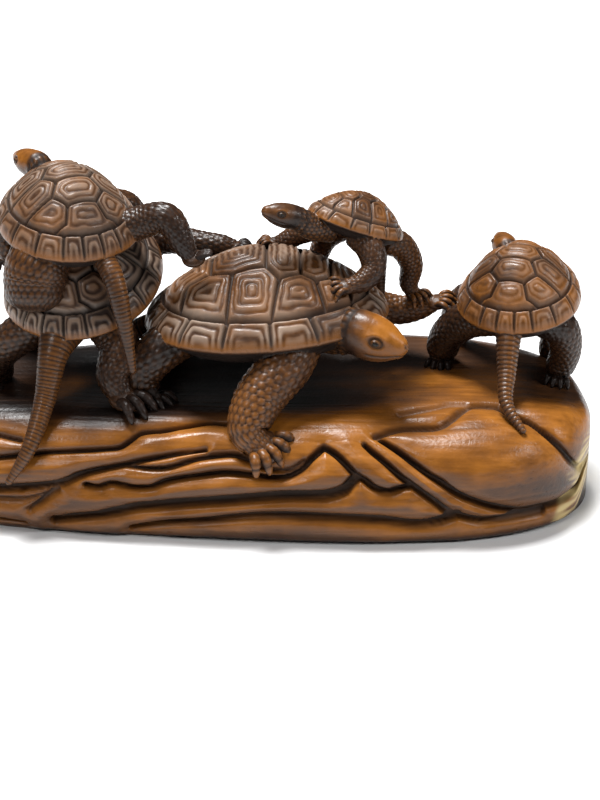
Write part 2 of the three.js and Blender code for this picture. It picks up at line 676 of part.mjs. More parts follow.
function logSolid() {
  const rings = [];
  for (let station = 0; station <= LOG.stations; station++) {
    const sweep = (station / LOG.stations) * 2 - 1;
    const x = (LOG.length / 2 - TIP_GAP) * (0.5 * sweep + 0.5 * Math.sin((sweep * Math.PI) / 2));
    const { points, skin, whole, depth } = logOutline(x);
    const toEnd = Math.min(1, (1 - Math.abs(sweep)) / RELIEF_FADE.ends);
    const fade = toEnd * Math.min(1, depth / RELIEF_FADE.halfDepth);
    const rows = logRows(x, whole, FRONT_CREASES, BACK_CREASES);
    const ring = rows.map((row, i) => {
      const next = Math.max(1, skin.findIndex((way) => way >= row.skin - 1e-9));
      const [before, after] = [points[next - 1], points[next]];
      const t = (row.skin - skin[next - 1]) / (skin[next] - skin[next - 1]);
      const along = after.clone().sub(before).normalize();
      const place = before.clone().lerp(after, t);
      let relief = row.relief;
      for (const swell of SWELLINGS) {
        relief += swell.rise * bell((x - swell.x) / swell.along) * bell((row.skin - swell.skin) / swell.round);
      }
      const { x: middle, behind, along: length, round: breadth, rise } = BACK_SHOULDER;
      relief += rise * bell((x - middle) / length) * bell((whole - row.skin - behind) / breadth);
      const edge = i === 0 || i === rows.length - 1;
      place.addScaledVector(new THREE.Vector2(-along.y, along.x), edge ? 0 : relief * fade);
      return new THREE.Vector3(x, place.x, edge ? 0 : Math.max(0.5, place.y));
    });
    rings.push(ring);
  }
  const tip = (side) => new THREE.Vector3((side * LOG.length) / 2, 0, LOG.noseTip);
  return loft(rings, tip(-1), tip(1));
}

// The outer skin alone, without the small closed pockets that are left where forms cross inside.
// Two faces belong to one skin where they share an edge.
function outerSkin(geometry) {
  const corners = geometry.index.array;
  const points = geometry.attributes.position.count;
  const faceCount = corners.length / 3;
  const leader = Array.from({ length: faceCount }, (_, i) => i);
  const find = (i) => {
    while (leader[i] !== i) i = leader[i] = leader[leader[i]];
    return i;
  };
  const faceAt = new Map();
  for (let i = 0; i < corners.length; i++) {
    const face = Math.floor(i / 3);
    const [a, b] = [corners[i], corners[3 * face + ((i + 1) % 3)]];
    const edge = Math.min(a, b) * points + Math.max(a, b);
    if (faceAt.has(edge)) leader[find(face)] = find(faceAt.get(edge));
    faceAt.set(edge, face);
  }
  const skins = new Map();
  for (let face = 0; face < faceCount; face++) {
    const skin = skins.get(find(face)) ?? [];
    skin.push(corners[3 * face], corners[3 * face + 1], corners[3 * face + 2]);
    skins.set(find(face), skin);
  }
  return [...skins.values()].sort((one, other) => other.length - one.length)[0];
}

// Everything is cut from one block, so the solids are joined into one.
const solids = [logSolid(), ...TURTLES.flatMap(turtleSolids)];
const carved = solids.reduce((whole, solid) => whole.add(solid));
const { vertProperties, triVerts } = carved.getMesh();
const cut = new THREE.BufferGeometry();
cut.setAttribute("position", new THREE.BufferAttribute(new Float32Array(vertProperties), 3));
cut.setIndex(new THREE.BufferAttribute(new Uint32Array(triVerts), 1));
const joined = mergeVertices(cut, 1e-4);
joined.setIndex(outerSkin(joined));
joined.computeVertexNormals();

const boxwood = new THREE.MeshStandardMaterial({ color: 0x6b3a1c, roughness: 0.42, metalness: 0 });
const piece = new THREE.Mesh(joined, boxwood);
piece.name = "turtles_on_log";

const okimono = new THREE.Group();
okimono.add(piece);
export default okimono;
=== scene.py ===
# %% [markdown]
# # Turtles on a driftwood log
# The real object is an okimono: an ornament for an alcove, carved from one block of boxwood,
# stained dark and rubbed with wax. This notebook dresses the plain solid with the carver's fine
# work: raised shell plates with growth rings, beaded skin, claws, ringed tails and wood grain.
# Everything is worked out in millimetres and handed to Blender in metres.

# %% The frame
import math

import bpy
import numpy as np
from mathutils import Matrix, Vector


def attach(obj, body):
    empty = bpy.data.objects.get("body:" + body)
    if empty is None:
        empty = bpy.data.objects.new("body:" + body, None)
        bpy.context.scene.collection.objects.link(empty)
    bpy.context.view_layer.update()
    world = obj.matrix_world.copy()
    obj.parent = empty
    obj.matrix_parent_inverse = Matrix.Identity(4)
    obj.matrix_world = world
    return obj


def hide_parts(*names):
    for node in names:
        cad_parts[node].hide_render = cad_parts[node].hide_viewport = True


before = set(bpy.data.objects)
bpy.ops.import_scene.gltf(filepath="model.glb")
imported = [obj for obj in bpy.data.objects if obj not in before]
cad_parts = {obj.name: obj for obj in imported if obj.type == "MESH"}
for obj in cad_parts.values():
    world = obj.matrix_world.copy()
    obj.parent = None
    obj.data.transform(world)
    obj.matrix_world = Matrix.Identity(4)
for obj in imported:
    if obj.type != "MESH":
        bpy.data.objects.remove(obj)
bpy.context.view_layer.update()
MM = 0.001
NODE = "turtles_on_log"

# %% [markdown]
# ## Smooth lines through a few points
# A limb is drawn as a carver sketches it, with three or four points from hip to toe. A spline
# that passes through all of them joins them. The centripetal kind is used here because it never
# loops back on itself where two points lie close together.

# %% Splines and small maths
UP = np.array([0.0, 0.0, 1.0])


def unit(v):
    """Scales vectors to length one."""
    return v / np.maximum(np.linalg.norm(v, axis=-1, keepdims=True), 1e-9)


def ease(low, high, value):
    """Rises smoothly from 0 at low to 1 at high."""
    t = np.clip((value - low) / (high - low), 0, 1)
    return t * t * (3 - 2 * t)


def bell(value):
    return np.exp(-value * value)


def spline(points, t):
    """Places on a centripetal spline through the given points, for t from 0 to 1."""
    points = np.asarray(points, float)
    spans = len(points) - 1
    ends = np.vstack([2 * points[0] - points[1], points, 2 * points[-1] - points[-2]])
    span = np.clip((t * spans).astype(int), 0, spans - 1)
    local = (t * spans - span)[:, None]
    p0, p1, p2, p3 = (ends[span + k] for k in range(4))
    step = [np.sqrt(np.linalg.norm(b - a, axis=1, keepdims=True)) for a, b in ((p0, p1), (p1, p2), (p2, p3))]
    leave = ((p1 - p0) / step[0] - (p2 - p0) / (step[0] + step[1]) + (p2 - p1) / step[1]) * step[1]
    arrive = ((p2 - p1) / step[1] - (p3 - p1) / (step[1] + step[2]) + (p3 - p2) / step[2]) * step[1]
    square, cube = local**2, local**3
    start_part = (2 * cube - 3 * square + 1) * p1 + (cube - 2 * square + local) * leave
    return start_part + (3 * square - 2 * cube) * p2 + (cube - square) * arrive


def wobble(x, y, seed):
    """A soft, repeatable unevenness between about -1 and 1, for hand-cut lines."""
    chance = np.random.default_rng(seed)
    total = np.zeros(np.broadcast(x, y).shape)
    for _ in range(5):
        turn = chance.uniform(0, 2 * math.pi)
        pitch = chance.uniform(0.6, 1.7)
        shift = chance.uniform(0, 2 * math.pi)
        total += np.sin((x * math.cos(turn) + y * math.sin(turn)) * pitch + shift)
    return total / 3.2


arch = [(0, 0), (1, 1), (2, 0)]
print("a curve through", arch, "passes", spline(arch, np.array([0.25]))[0].round(3))


# %% [markdown]
# ## Parts made of a grid
# Every form here is a grid of points that is bent into shape and closed at its ends. A grid
# keeps the columns and rows in step with the real directions, along a limb and round it, so
# beads and rings can be placed by counting. Each point also carries five painted values: hollow
# (stain gathers there; on the toes' undersides it is painted shade), crest (worn bright by hands,
# and on the log and the tails also a painted highlight), tone (near black to amber, with painted
# shade on undersides and on parts of the log), eye, and bare (pale wood where the surface is
# broken, and on the shells pale dust with a painted sheen).

# %% Grid parts
MASKS = ("hollow", "crest", "tone", "eye", "bare")


class Part:
    """A closed form: points in millimetres, faces, and one value of each mask at every point."""

    def __init__(self, points, faces, masks):
        self.points = np.asarray(points, float)
        self.faces = faces
        self.masks = {name: np.asarray(masks.get(name, np.zeros(len(points))), float) for name in MASKS}
        first = np.array([f[:3] for f in faces])
        a, b, c = (self.points[first[:, k]] for k in range(3))
        extra = np.array([(f[0], f[2], f[3]) for f in faces if len(f) == 4]).reshape(-1, 3)
        volume = np.einsum("ij,ij->i", a, np.cross(b, c)).sum()
        a, b, c = (self.points[extra[:, k]] for k in range(3))
        volume += np.einsum("ij,ij->i", a, np.cross(b, c)).sum()
        if volume < 0:
            self.faces = [tuple(reversed(f)) for f in faces]


def grid_faces(rows, columns):
    """Four-sided faces of a grid whose columns run round and meet."""
    index = np.arange(rows * columns).reshape(rows, columns)
    turned = np.roll(index, -1, axis=1)
    corners = np.stack([index[:-1], turned[:-1], turned[1:], index[1:]], axis=-1)
    return corners.reshape(-1, 4)


def grid_normals(grid):
    """The outward direction at each point of a grid that runs round in its second axis."""
    along = np.gradient(grid, axis=0)
    round_it = np.roll(grid, -1, axis=1) - np.roll(grid, 1, axis=1)
    return unit(np.cross(round_it, along))


def closed_grid(grid, masks, first_tip, last_tip):
    """Closes a grid to a point at both ends and makes it a part."""
    rows, columns = grid.shape[:2]
    points = np.vstack([grid.reshape(-1, 3), first_tip, last_tip])
    faces = [tuple(f) for f in grid_faces(rows, columns).tolist()]
    last = (rows - 1) * columns
    for i in range(columns):
        j = (i + 1) % columns
        faces.append((len(points) - 2, j, i))
        faces.append((len(points) - 1, last + i, last + j))
    flat = {}
    for name, values in masks.items():
        values = np.broadcast_to(values, (rows, columns))
        flat[name] = np.concatenate([values.ravel(), [values[0].mean(), values[-1].mean()]])
    return Part(points, faces, flat)


SAMPLES = 300  # points along a path, from which the even rows of a tube are taken
TIP_LEFT = 0.0009  # keeps the last row of a rounded end from falling into one point


class Tube:
    """A bending tube, before it's closed: its grid with the way along and round at each point."""

    def __init__(self, path, sections, cell, end_round=0.6):
        path, sections = np.asarray(path, float), np.asarray(sections, float)
        tip = path[-1] + unit(path[-1] - path[-2]) * sections[-1].min() * end_round
        path, sections = np.vstack([path, tip]), np.vstack([sections, sections[-1]])
        t = np.linspace(0, 1, SAMPLES)
        steps = np.linalg.norm(np.diff(spline(path, t), axis=0), axis=1)
        ways = np.concatenate([[0], np.cumsum(steps)])
        rows = max(6, int(ways[-1] / cell))
        t = np.interp(np.linspace(0, ways[-1], rows), ways, t)
        self.centres = spline(path, t)
        self.along = unit(np.gradient(self.centres, axis=0))
        self.wide, self.high = (self.blurred(t, half)[:, None] for half in sections.T)
        columns = max(10, int(2 * math.pi * max(self.wide.max(), self.high.max()) / cell))
        across = np.cross(UP, self.along[0])
        across = np.array([1.0, 0, 0]) if np.linalg.norm(across) < 0.2 else across
        sides = []
        for direction in self.along:
            across = unit(across - direction * across.dot(direction))
            sides.append(across)
        self.across = np.array(sides)
        self.over = np.cross(self.along, self.across)
        self.way = np.linspace(0, ways[-1], rows)[:, None]
        self.angle = (2 * math.pi * np.arange(columns) / columns)[None, :]
        cap = np.minimum(self.wide, self.high) * end_round
        left = np.clip((ways[-1] - self.way) / np.maximum(cap, 1e-6), 0, 1)
        self.taper = np.sqrt(np.clip(1 - (1 - left) ** 2, TIP_LEFT, 1))
        self.lay()

    @staticmethod
    def blurred(t, half):
        """Half breadths in every row, from the few that are given, without sudden changes."""
        reach = max(1, len(t) // 14)
        kernel = np.ones(2 * reach + 1) / (2 * reach + 1)
        between = np.interp(t, np.linspace(0, 1, len(half)), half)
        return np.convolve(np.pad(between, reach, mode="edge"), kernel, "valid")

    def lay(self, lift=0.0):
        """Places the surface, standing out from the plain tube by lift."""
        wide, high = (self.wide + lift) * self.taper, (self.high + lift) * self.taper
        sideways = self.across[:, None, :] * (wide * np.cos(self.angle))[..., None]
        upwards = self.over[:, None, :] * (high * np.sin(self.angle))[..., None]
        self.grid = self.centres[:, None, :] + sideways + upwards

    def part(self, **masks):
        return closed_grid(self.grid, masks, self.centres[0], self.centres[-1] + self.along[-1] * 0.02)


straight = Tube([(0, 0, 0), (20, 0, 0)], [(5, 5), (5, 5)], cell=0.5)
print("a straight tube 20 mm long has", straight.grid.shape[:2], "rows and columns")


# %% [markdown]
# ## From parts to one solid
# A carving has no seams, so its parts are joined with a Boolean union. Blender's Manifold solver
# is fast enough for dense meshes and carries the painted values across. The few points that it
# makes along each joint come out unpainted, and they take the mean of their neighbours.

# %% Meshes and unions
FILL_ROUNDS = 4  # how often the unpainted points take their neighbours' values


def mesh_object(name, part):
    mesh = bpy.data.meshes.new(name)
    mesh.from_pydata((part.points * MM).tolist(), [], part.faces)
    for mask, values in part.masks.items():
        mesh.attributes.new(mask, "FLOAT", "POINT").data.foreach_set("value", values + 1)
    piece = bpy.data.objects.new(name, mesh)
    bpy.context.scene.collection.objects.link(piece)
    return piece


def read_mask(mesh, name):
    values = np.zeros(len(mesh.vertices), np.float32)
    mesh.attributes[name].data.foreach_get("value", values)
    return values


def neighbours(mesh):
    edges = np.zeros(len(mesh.edges) * 2, np.int64)
    mesh.edges.foreach_get("vertices", edges)
    edges = edges.reshape(-1, 2)
    return np.vstack([edges, edges[:, ::-1]])


def unite(name, parts):
    """Joins closed parts into one solid and repaints the points along the joints."""
    whole = mesh_object(name, parts[0])
    others = [mesh_object(name + "_cut", part) for part in parts[1:]]
    for other in others:
        join = whole.modifiers.new("join", "BOOLEAN")
        join.operation = "UNION"
        join.solver = "MANIFOLD"
        join.object = other
    evaluated = whole.evaluated_get(bpy.context.evaluated_depsgraph_get())
    mesh = bpy.data.meshes.new_from_object(evaluated)
    whole.modifiers.clear()
    whole.data = mesh
    mesh.name = name
    for other in others:
        bpy.data.objects.remove(other)
    pairs = neighbours(mesh)
    for mask in MASKS:
        values = read_mask(mesh, mask)
        for _ in range(FILL_ROUNDS):
            blank = values < 0.5
            if not blank.any():
                break
            known = pairs[~blank[pairs[:, 1]] & blank[pairs[:, 0]]]
            total = np.bincount(known[:, 0], values[known[:, 1]], len(values))
            count = np.bincount(known[:, 0], minlength=len(values))
            fill = blank & (count > 0)
            values[fill] = total[fill] / count[fill]
        mesh.attributes[mask].data.foreach_set("value", np.maximum(values - 1, 0).astype(np.float32))
    mesh.polygons.foreach_set("use_smooth", np.ones(len(mesh.polygons), bool))
    return whole


def triangles(piece):
    """How many triangles its faces make."""
    return sum(len(face.vertices) - 2 for face in piece.data.polygons)


def paint_underside_shade(piece, depth):
    """Paints shade on what faces down: its tone gets darker there, by up to depth."""
    mesh = piece.data
    normals = np.zeros(3 * len(mesh.vertices), np.float32)
    mesh.vertex_normals.foreach_get("vector", normals)
    tone = read_mask(mesh, "tone") - depth * ease(0.5, -0.4, normals[2::3])
    mesh.attributes["tone"].data.foreach_set("value", np.maximum(tone, 0).astype(np.float32))


# %% [markdown]
# ## The shell
# A tortoise's shell is a dome of horny plates. Down the middle run five, beside them four on
# each flank, and a ring of small ones lines the edge. The carver cuts the seams between them
# first and then scratches growth rings inside each, parallel to its own outline. The same is
# done here by measure: every point knows its distance to the nearest seam, and rings are
# simply waves of that distance. A square grid pressed into a circle gives even points.

# %% Shell plan
EDGE_SEAMS = (12, 36, 65, 87, 110, 134, 156, 172)  # where the edge plates meet, in degrees from the nose
INNER_RING = 0.83
BEYOND_RIM = 1.3  # edge plates run on past the rim, so that their rings stay open towards it
FRONT_NARROWING = 0.08
# Corners between the plates of the spine, corners between those of the flanks, and the seams that
# run down from the latter to the edge plates, for a shell with broad or narrow plates on its spine.
BROAD_SPINE = dict(
    spine=((0.54, 0.29), (0.3, 0.36), (0.03, 0.31), (-0.42, 0.24)),
    flanks=((0.68, 0.34), (0.42, 0.4), (0.13, 0.46), (-0.24, 0.34), (-0.62, 0.22)),
    seams=(33, 54, 86, 111, 144),
)
NARROW_SPINE = dict(
    spine=((0.5, 0.22), (0.18, 0.24), (-0.18, 0.24), (-0.52, 0.2)),
    flanks=((0.66, 0.31), (0.35, 0.36), (0, 0.38), (-0.35, 0.36), (-0.68, 0.28)),
    seams=(30, 61, 89, 116, 146),
)


def dome_share(r):
    inside = np.maximum(0, 1 - r * r)
    return 0.5 * inside**0.7 + 0.5 * inside**1.3


def on_circle(angles, share):
    angles = np.radians(angles)
    return list(zip(share * np.cos(angles), share * np.sin(angles)))


def arc(start, end, share=INNER_RING):
    return on_circle(np.linspace(start, end, 7), share)


def shell_plates(spine, flanks, seams):
    """The outlines of all plates in the unit circle, each with the kind it is."""
    plates = []
    rim = list(EDGE_SEAMS) + [360 - a for a in reversed(EDGE_SEAMS)]
    for start, end in zip(rim, rim[1:] + [rim[0] + 360]):
        plates.append(("edge", arc(start, end) + arc(end, start, BEYOND_RIM)))
    for side in (1, -1):
        near = [(p, q * side) for p, q in spine]
        far = [(p, q * side) for p, q in flanks]
        for n in range(4):
            below = arc(side * seams[n + 1], side * seams[n])
            plates.append(("flank", [far[n], near[n], far[n + 1]] + below))
    mirror = lambda points: [(p, -q) for p, q in points]
    for n in range(3):
        left = [spine[n], flanks[n + 1], spine[n + 1]]
        plates.append(("spine", left + mirror(reversed(left))))
    front, back = [spine[0], flanks[0]], [spine[3], flanks[4]]
    plates.append(("spine", front + arc(seams[0], -seams[0]) + mirror(reversed(front))))
    plates.append(("spine", back + arc(seams[4], 360 - seams[4]) + mirror(reversed(back))))
    return plates


def plate_depth(outline, x, y):
    """How far points lie inside an outline, measured to its nearest side, or -1 outside it."""
    nearest = np.full(x.shape, 1e9)
    inside = np.zeros(x.shape, bool)
    for (ax, ay), (bx, by) in zip(outline, outline[1:] + outline[:1]):
        ex, ey = bx - ax, by - ay
        if math.hypot(ex, ey) < 1e-6:
            continue
        share = np.clip(((x - ax) * ex + (y - ay) * ey) / (ex * ex + ey * ey), 0, 1)
        nearest = np.minimum(nearest, np.hypot(x - ax - share * ex, y - ay - share * ey))
        if abs(ey) > 1e-12:
            inside ^= ((ay > y) != (by > y)) & (x < ex * (y - ay) / ey + ax)
    return np.where(inside, nearest, -1)


def disc_grid(steps):
    """A square grid pressed into the unit circle."""
    u = np.linspace(-1, 1, steps + 1)
    u, v = np.meshgrid(u, u, indexing="ij")
    return u * np.sqrt(1 - v * v / 2), v * np.sqrt(1 - u * u / 2)


def soften(field, times):
    """Blurs a square grid of values by averaging neighbours."""
    for _ in range(times):
        wide = np.pad(field, 1, mode="edge")
        field = (wide[:-2, 1:-1] + wide[2:, 1:-1] + wide[1:-1, :-2] + wide[1:-1, 2:] + 2 * field) / 6
    return field


def square_edge(steps):
    """Grid indices round the border of a square grid, in order."""
    index = np.arange((steps + 1) ** 2).reshape(steps + 1, steps + 1)
    return np.concatenate([index[:-1, 0], index[-1, :-1], index[:0:-1, -1], index[0, :0:-1]])


print("a shell has", len(shell_plates(**BROAD_SPINE)), "plates")


# %% [markdown]
# The cuts are added up as heights over a smooth dome. Each plate swells a little towards its
# middle, the seams lie deepest, and the rings are waves of the distance to the seam, made a
# little unsteady as by hand. The ridges of the rings carry pale dust and a painted sheen, more
# on some plates than on others.

# %% Shell surface
GREAT_LENGTH = 77.0  # the shell whose seams and rings have the breadths and depths below
SEAM_INNER, SEAM_BREADTH, RING_BREADTH, RING_DEPTH = 0.12, 0.9, 1.95, 0.62
PLATE_RISE, SEAM_DEPTH = 0.05, 0.035  # as shares of the dome's height
BELLY = ((0.985, -0.09), (0.95, -0.1), (0.88, -0.22), (0.76, -0.36), (0.5, -0.42), (0.25, -0.44))
# The belly, underneath the shell, is dark all over.
BELLY_MASKS = {"hollow": 0.75, "crest": 0.0, "bare": 0.0, "tone": 0.12}


def turned(heading, pitch, roll):
    """Axes of a shell as the columns of a matrix: nose, left side and up."""
    h, p, r = (math.radians(a) for a in (heading, -pitch, roll))
    about_z = np.array([[math.cos(h), -math.sin(h), 0], [math.sin(h), math.cos(h), 0], [0, 0, 1]])
    about_y = np.array([[math.cos(p), 0, math.sin(p)], [0, 1, 0], [-math.sin(p), 0, math.cos(p)]])
    about_x = np.array([[1, 0, 0], [0, math.cos(r), -math.sin(r)], [0, math.sin(r), math.cos(r)]])
    return about_z @ about_y @ about_x


def plate_fields(plates, plan, x, y, seed):
    """At each point: how deep it lies in its plate, the plate's greatest depth, kind and shade."""
    away, deepest = np.full(x.shape, -1.0), np.ones(x.shape)
    edge_plate, shade = np.zeros(x.shape, bool), np.zeros(x.shape)
    chance = np.random.default_rng(seed)
    for kind, outline in shell_plates(**plates):
        depth = plate_depth([plan(*point) for point in outline], x, y)
        mine = depth > away
        if mine.any():
            away = np.where(mine, depth, away)
            deepest = np.where(mine, depth.max(), deepest)
            edge_plate = np.where(mine, kind == "edge", edge_plate)
            shade = np.where(mine, chance.uniform(-1, 1), shade)
    return np.maximum(away, 0), deepest, edge_plate, shade


def shell_faces(steps):
    """Faces of the square top, of the belly's rows round its border, and of the fan that closes it."""
    index = np.arange((steps + 1) ** 2).reshape(steps + 1, steps + 1)
    corners = np.stack([index[:-1, :-1], index[1:, :-1], index[1:, 1:], index[:-1, 1:]], axis=-1)
    bands = [corners.reshape(-1, 4)]
    outer = square_edge(steps)
    for row in range(len(BELLY)):
        inner = index.size + row * len(outer) + np.arange(len(outer))
        bands.append(np.stack([outer, inner, np.roll(inner, -1), np.roll(outer, -1)], axis=-1))
        outer = inner
    middle = index.size + len(BELLY) * len(outer)
    fan = [(int(a), middle, int(b)) for a, b in zip(outer, np.roll(outer, -1))]
    return [tuple(face) for face in np.vstack(bands).tolist()] + fan


def shell_part(centre, heading, pitch, roll, length, width, dome, plates, relief, steps, tone, seed):
    p, q = disc_grid(steps)
    r = np.hypot(p, q)
    plan = lambda p, q: (length / 2 * p, width / 2 * q * (1 - FRONT_NARROWING * p))
    x, y = plan(p, q)
    size = (length / GREAT_LENGTH) ** 0.6
    away, deepest, edge_plate, shade = plate_fields(plates, plan, x, y, seed)
    seam = 1 - ease(SEAM_INNER * size, SEAM_BREADTH * size, away)
    rim = ease(0.965, 1.0, r)
    hand = 0.5 * wobble(x / 2.3, y / 2.3, seed) + 0.26 * wobble(x * 1.2, y * 1.2, seed + 1)
    turn = (soften(away, 7) + size * ease(0.3, 1.5, away) * hand) / (RING_BREADTH * size)
    wave = (0.5 - 0.5 * np.cos(2 * math.pi * (turn + 0.1))) ** 0.8
    rings = (1 - seam) * ease(0.25, 0.6, turn)
    fine = size * relief * RING_DEPTH * (wave - 0.6) * rings * (1 - rim)
    fine = fine + 0.06 * size * wobble(x * 1.1, y * 1.1, seed + 2) - 0.35 * seam * size
    pillow = 0.6 + 0.4 * ease(0, 0.3, away / deepest)
    bulge = 1 + 0.4 * ease(0.4, 1, away / deepest) * (relief < 0.6)
    plate = -SEAM_DEPTH + (PLATE_RISE + SEAM_DEPTH) * (1 - seam) * pillow * bulge * (1 - rim)
    height = dome * (dome_share(r) + plate) + fine

    border = square_edge(steps)
    rows = [np.stack([x, y, height], axis=-1).reshape(-1, 3)]
    for share, drop in BELLY:
        across, aside = plan(share * p.ravel()[border], share * q.ravel()[border])
        rows.append(np.stack([across, aside, np.full(len(border), dome * drop)], axis=-1))
    points = np.vstack([*rows, [[0, 0, BELLY[-1][1] * dome]]])

    # Pale dust and a painted sheen on the ridges of the rings, through the bare mask.
    dust_and_sheen_spread = np.clip(wobble(x / 6, y / 6, seed + 4) + 0.3 * shade, -1, 1)
    dust_and_sheen = relief * (0.25 + 0.1 * edge_plate + 0.24 * dust_and_sheen_spread)
    valley = np.clip(1 - wave * 1.7, 0, 1) * rings
    top_masks = {
        "hollow": np.clip(seam + (0.16 + 0.3 * relief) * valley, 0, 1) * (1 - 0.7 * rim),
        "crest": np.clip(0.95 * rim + 0.3 * np.clip(wave * 1.6 - 0.6, 0, 1) * rings, 0, 1),
        "bare": dust_and_sheen * np.clip(wave * 1.6 - 0.4, 0, 1) * (1 - seam) * (1 - rim),
        "tone": tone + 0.07 * shade + 0.08 * wobble(x / 5, y / 5, seed + 3) + 0.15 * rim,
    }
    masks = {}
    for name, values in top_masks.items():
        masks[name] = np.concatenate([values.ravel(), np.full(len(points) - r.size, BELLY_MASKS[name])])
    return Part(np.asarray(centre) + points @ turned(heading, pitch, roll).T, shell_faces(steps), masks)


# %% [markdown]
# ## Limbs, claws and tails
# The skin of a tortoise's leg is covered with round scales that get smaller towards the toes.
# A carver punches them in offset rows, like a honeycomb. Here a whole number of them goes
# round each limb, so they narrow with it. The toes are little tubes that end in claws.

# %% Skin
ROW_STEP, BEAD_RADIUS = 0.866, 0.56  # of rows and beads, in steps between two beads of a row
BEAD_STAND = 0.34  # how far a scale stands out, as a share of its breadth


def beads(across, along):
    """Rows of round beads, each row half a step aside: 1 at the middle of one, 0 between them."""
    row = along / ROW_STEP
    nearest = np.full(np.broadcast(across, along).shape, 9.0)
    for odd in (0, 1):
        side = across - 0.5 * odd
        side = side - np.round(side)
        up = (row - odd) - 2 * np.round((row - odd) / 2)
        nearest = np.minimum(nearest, np.hypot(side, up * ROW_STEP))
    return np.sqrt(np.clip(1 - (nearest / BEAD_RADIUS) ** 2, 0, 1))


def beads_round(radius, scale):
    """How many scales go round a limb."""
    return max(8, round(2 * math.pi * radius / scale))


def limb_part(path, radii, scale, cell, tone, seed):
    tube = Tube(path, [(radius, radius) for radius in radii], cell)
    across = tube.angle * beads_round(0.9 * max(radii), scale) / (2 * math.pi)
    unevenness = 0.12 * wobble(across * 0.9, tube.way / scale, seed)
    bead = beads(across + unevenness, tube.way / scale + unevenness)
    thin = tube.wide / max(radii)
    tube.lay(scale * BEAD_STAND * (bead - 0.5) * (0.5 + 0.5 * thin))
    handled = np.clip(0.5 + 0.6 * wobble(tube.angle * 1.5, tube.way / 7, seed + 1), 0, 1) * min(1, 2 * tone)
    wear_and_highlight = np.clip(bead * 1.7 - 0.75, 0, 1) * handled
    return tube.part(hollow=np.clip(1.15 - 1.7 * bead, 0, 1), crest=wear_and_highlight, tone=tone + 0.1 * bead)


print("a leg of 7 mm radius has", beads_round(7, 2.5), "scales round it")


# %% Feet
# All of these are shares of the foot's size, and the fan is an angle in radians.
PALM, PALM_AHEAD, PALM_UP = (0.68, 0.64, 0.36), 0.12, 0.03  # half sizes ahead, across and up; its middle
PALM_ROWS, PALM_COLUMNS = 26, 40
BONES = ((0.2, 0.1), (0.5, 0.28), (0.78, 0.29), (1.02, 0.15), (1.2, -0.02), (1.32, -0.16))  # ahead and up
TOE_THICK = (0.16, 0.19, 0.19, 0.17, 0.14, 0.06)
TOE_FAN, TOE_GAP = 0.3, 0.25  # between two toes
CLAW_FROM, TOE_RING = 1.03, 0.17
WORN_FROM = 0.24  # feet with a lighter tone than this are worn orange on top


def palm_part(middle, ahead, across, normal, size, tone):
    """A flattened ball with small beads on it."""
    tilt = np.linspace(-math.pi / 2, math.pi / 2, PALM_ROWS + 2)[1:-1, None]
    turn = (2 * math.pi * np.arange(PALM_COLUMNS) / PALM_COLUMNS)[None, :]
    knob = beads(turn * 9 / math.pi, (tilt + 2) * 6)
    swell = size * (1 + 0.05 * knob)
    palm = (middle + (ahead * PALM_AHEAD + normal * PALM_UP) * size
            + ahead * (PALM[0] * np.cos(tilt) * np.cos(turn) * swell)[..., None]
            + across * (PALM[1] * np.cos(tilt) * np.sin(turn) * swell)[..., None]
            + normal * (PALM[2] * np.sin(tilt) * swell)[..., None])
    poles = [middle + (ahead * PALM_AHEAD + normal * (PALM_UP + side * (PALM[2] + 0.01))) * size
             for side in (-1, 1)]
    masks = {"hollow": 0.9 * (1 - knob), "crest": 0.3 * knob, "tone": np.full(knob.shape, tone)}
    return closed_grid(palm, masks, *poles)


def toe_part(base, direction, normal, size, length, curl, cell, tone):
    """A ringed toe with a smooth claw beyond a small gap."""
    path = []
    for out, height in BONES:
        raised = height + curl * max(0.0, out - 0.5) ** 1.6
        path.append(base + (direction * out * length + normal * raised) * size)
    tube = Tube(path, [(size * share, size * share * 0.95) for share in TOE_THICK], cell)
    reached = ((tube.centres - base) @ direction)[:, None] / size / length
    claw = ease(CLAW_FROM, CLAW_FROM + 0.05, reached)
    band = np.abs(np.sin(tube.way / (TOE_RING * size) * math.pi)) ** 0.7
    gap = bell((reached - CLAW_FROM) / 0.045)
    tube.lay(size * (0.014 * band * (1 - claw) - 0.025 * gap))
    # The undersides of the toes and claws get painted shade through the hollow mask; light feet are worn
    # orange on top.
    top = np.clip(np.sin(tube.angle) * 1.3 - 0.1, 0, 1)
    dark = 0.45 * (1 - band) * (1 - claw) + gap + 0.95 * (1 - top) * (1 - 0.4 * claw)
    wear_and_highlight = np.clip(0.75 * band * top + 0.3 * claw * top, 0, 1) * (tone > WORN_FROM)
    return tube.part(hollow=np.clip(dark, 0, 1), crest=wear_and_highlight, tone=tone + 0.2 * (tone > WORN_FROM))


def foot_parts(centre, toward, up, size, toes, curl, reach, cell, tone):
    middle, normal = np.asarray(centre, float), unit(np.asarray(up, float))
    ahead = np.asarray(toward, float)
    ahead = unit(ahead - normal * ahead.dot(normal))
    across = np.cross(normal, ahead)
    parts = [palm_part(middle, ahead, across, normal, size, tone)]
    for i in range(toes):
        place = i - (toes - 1) / 2
        angle = place * TOE_FAN * (1 - curl)
        direction = math.cos(angle) * ahead + math.sin(angle) * across
        base = middle + across * place * TOE_GAP * size * (1 - 0.4 * curl)
        length = reach * (1 - 0.045 * place * place)
        parts.append(toe_part(base, direction, normal, size, length, curl, cell, tone))
    return parts


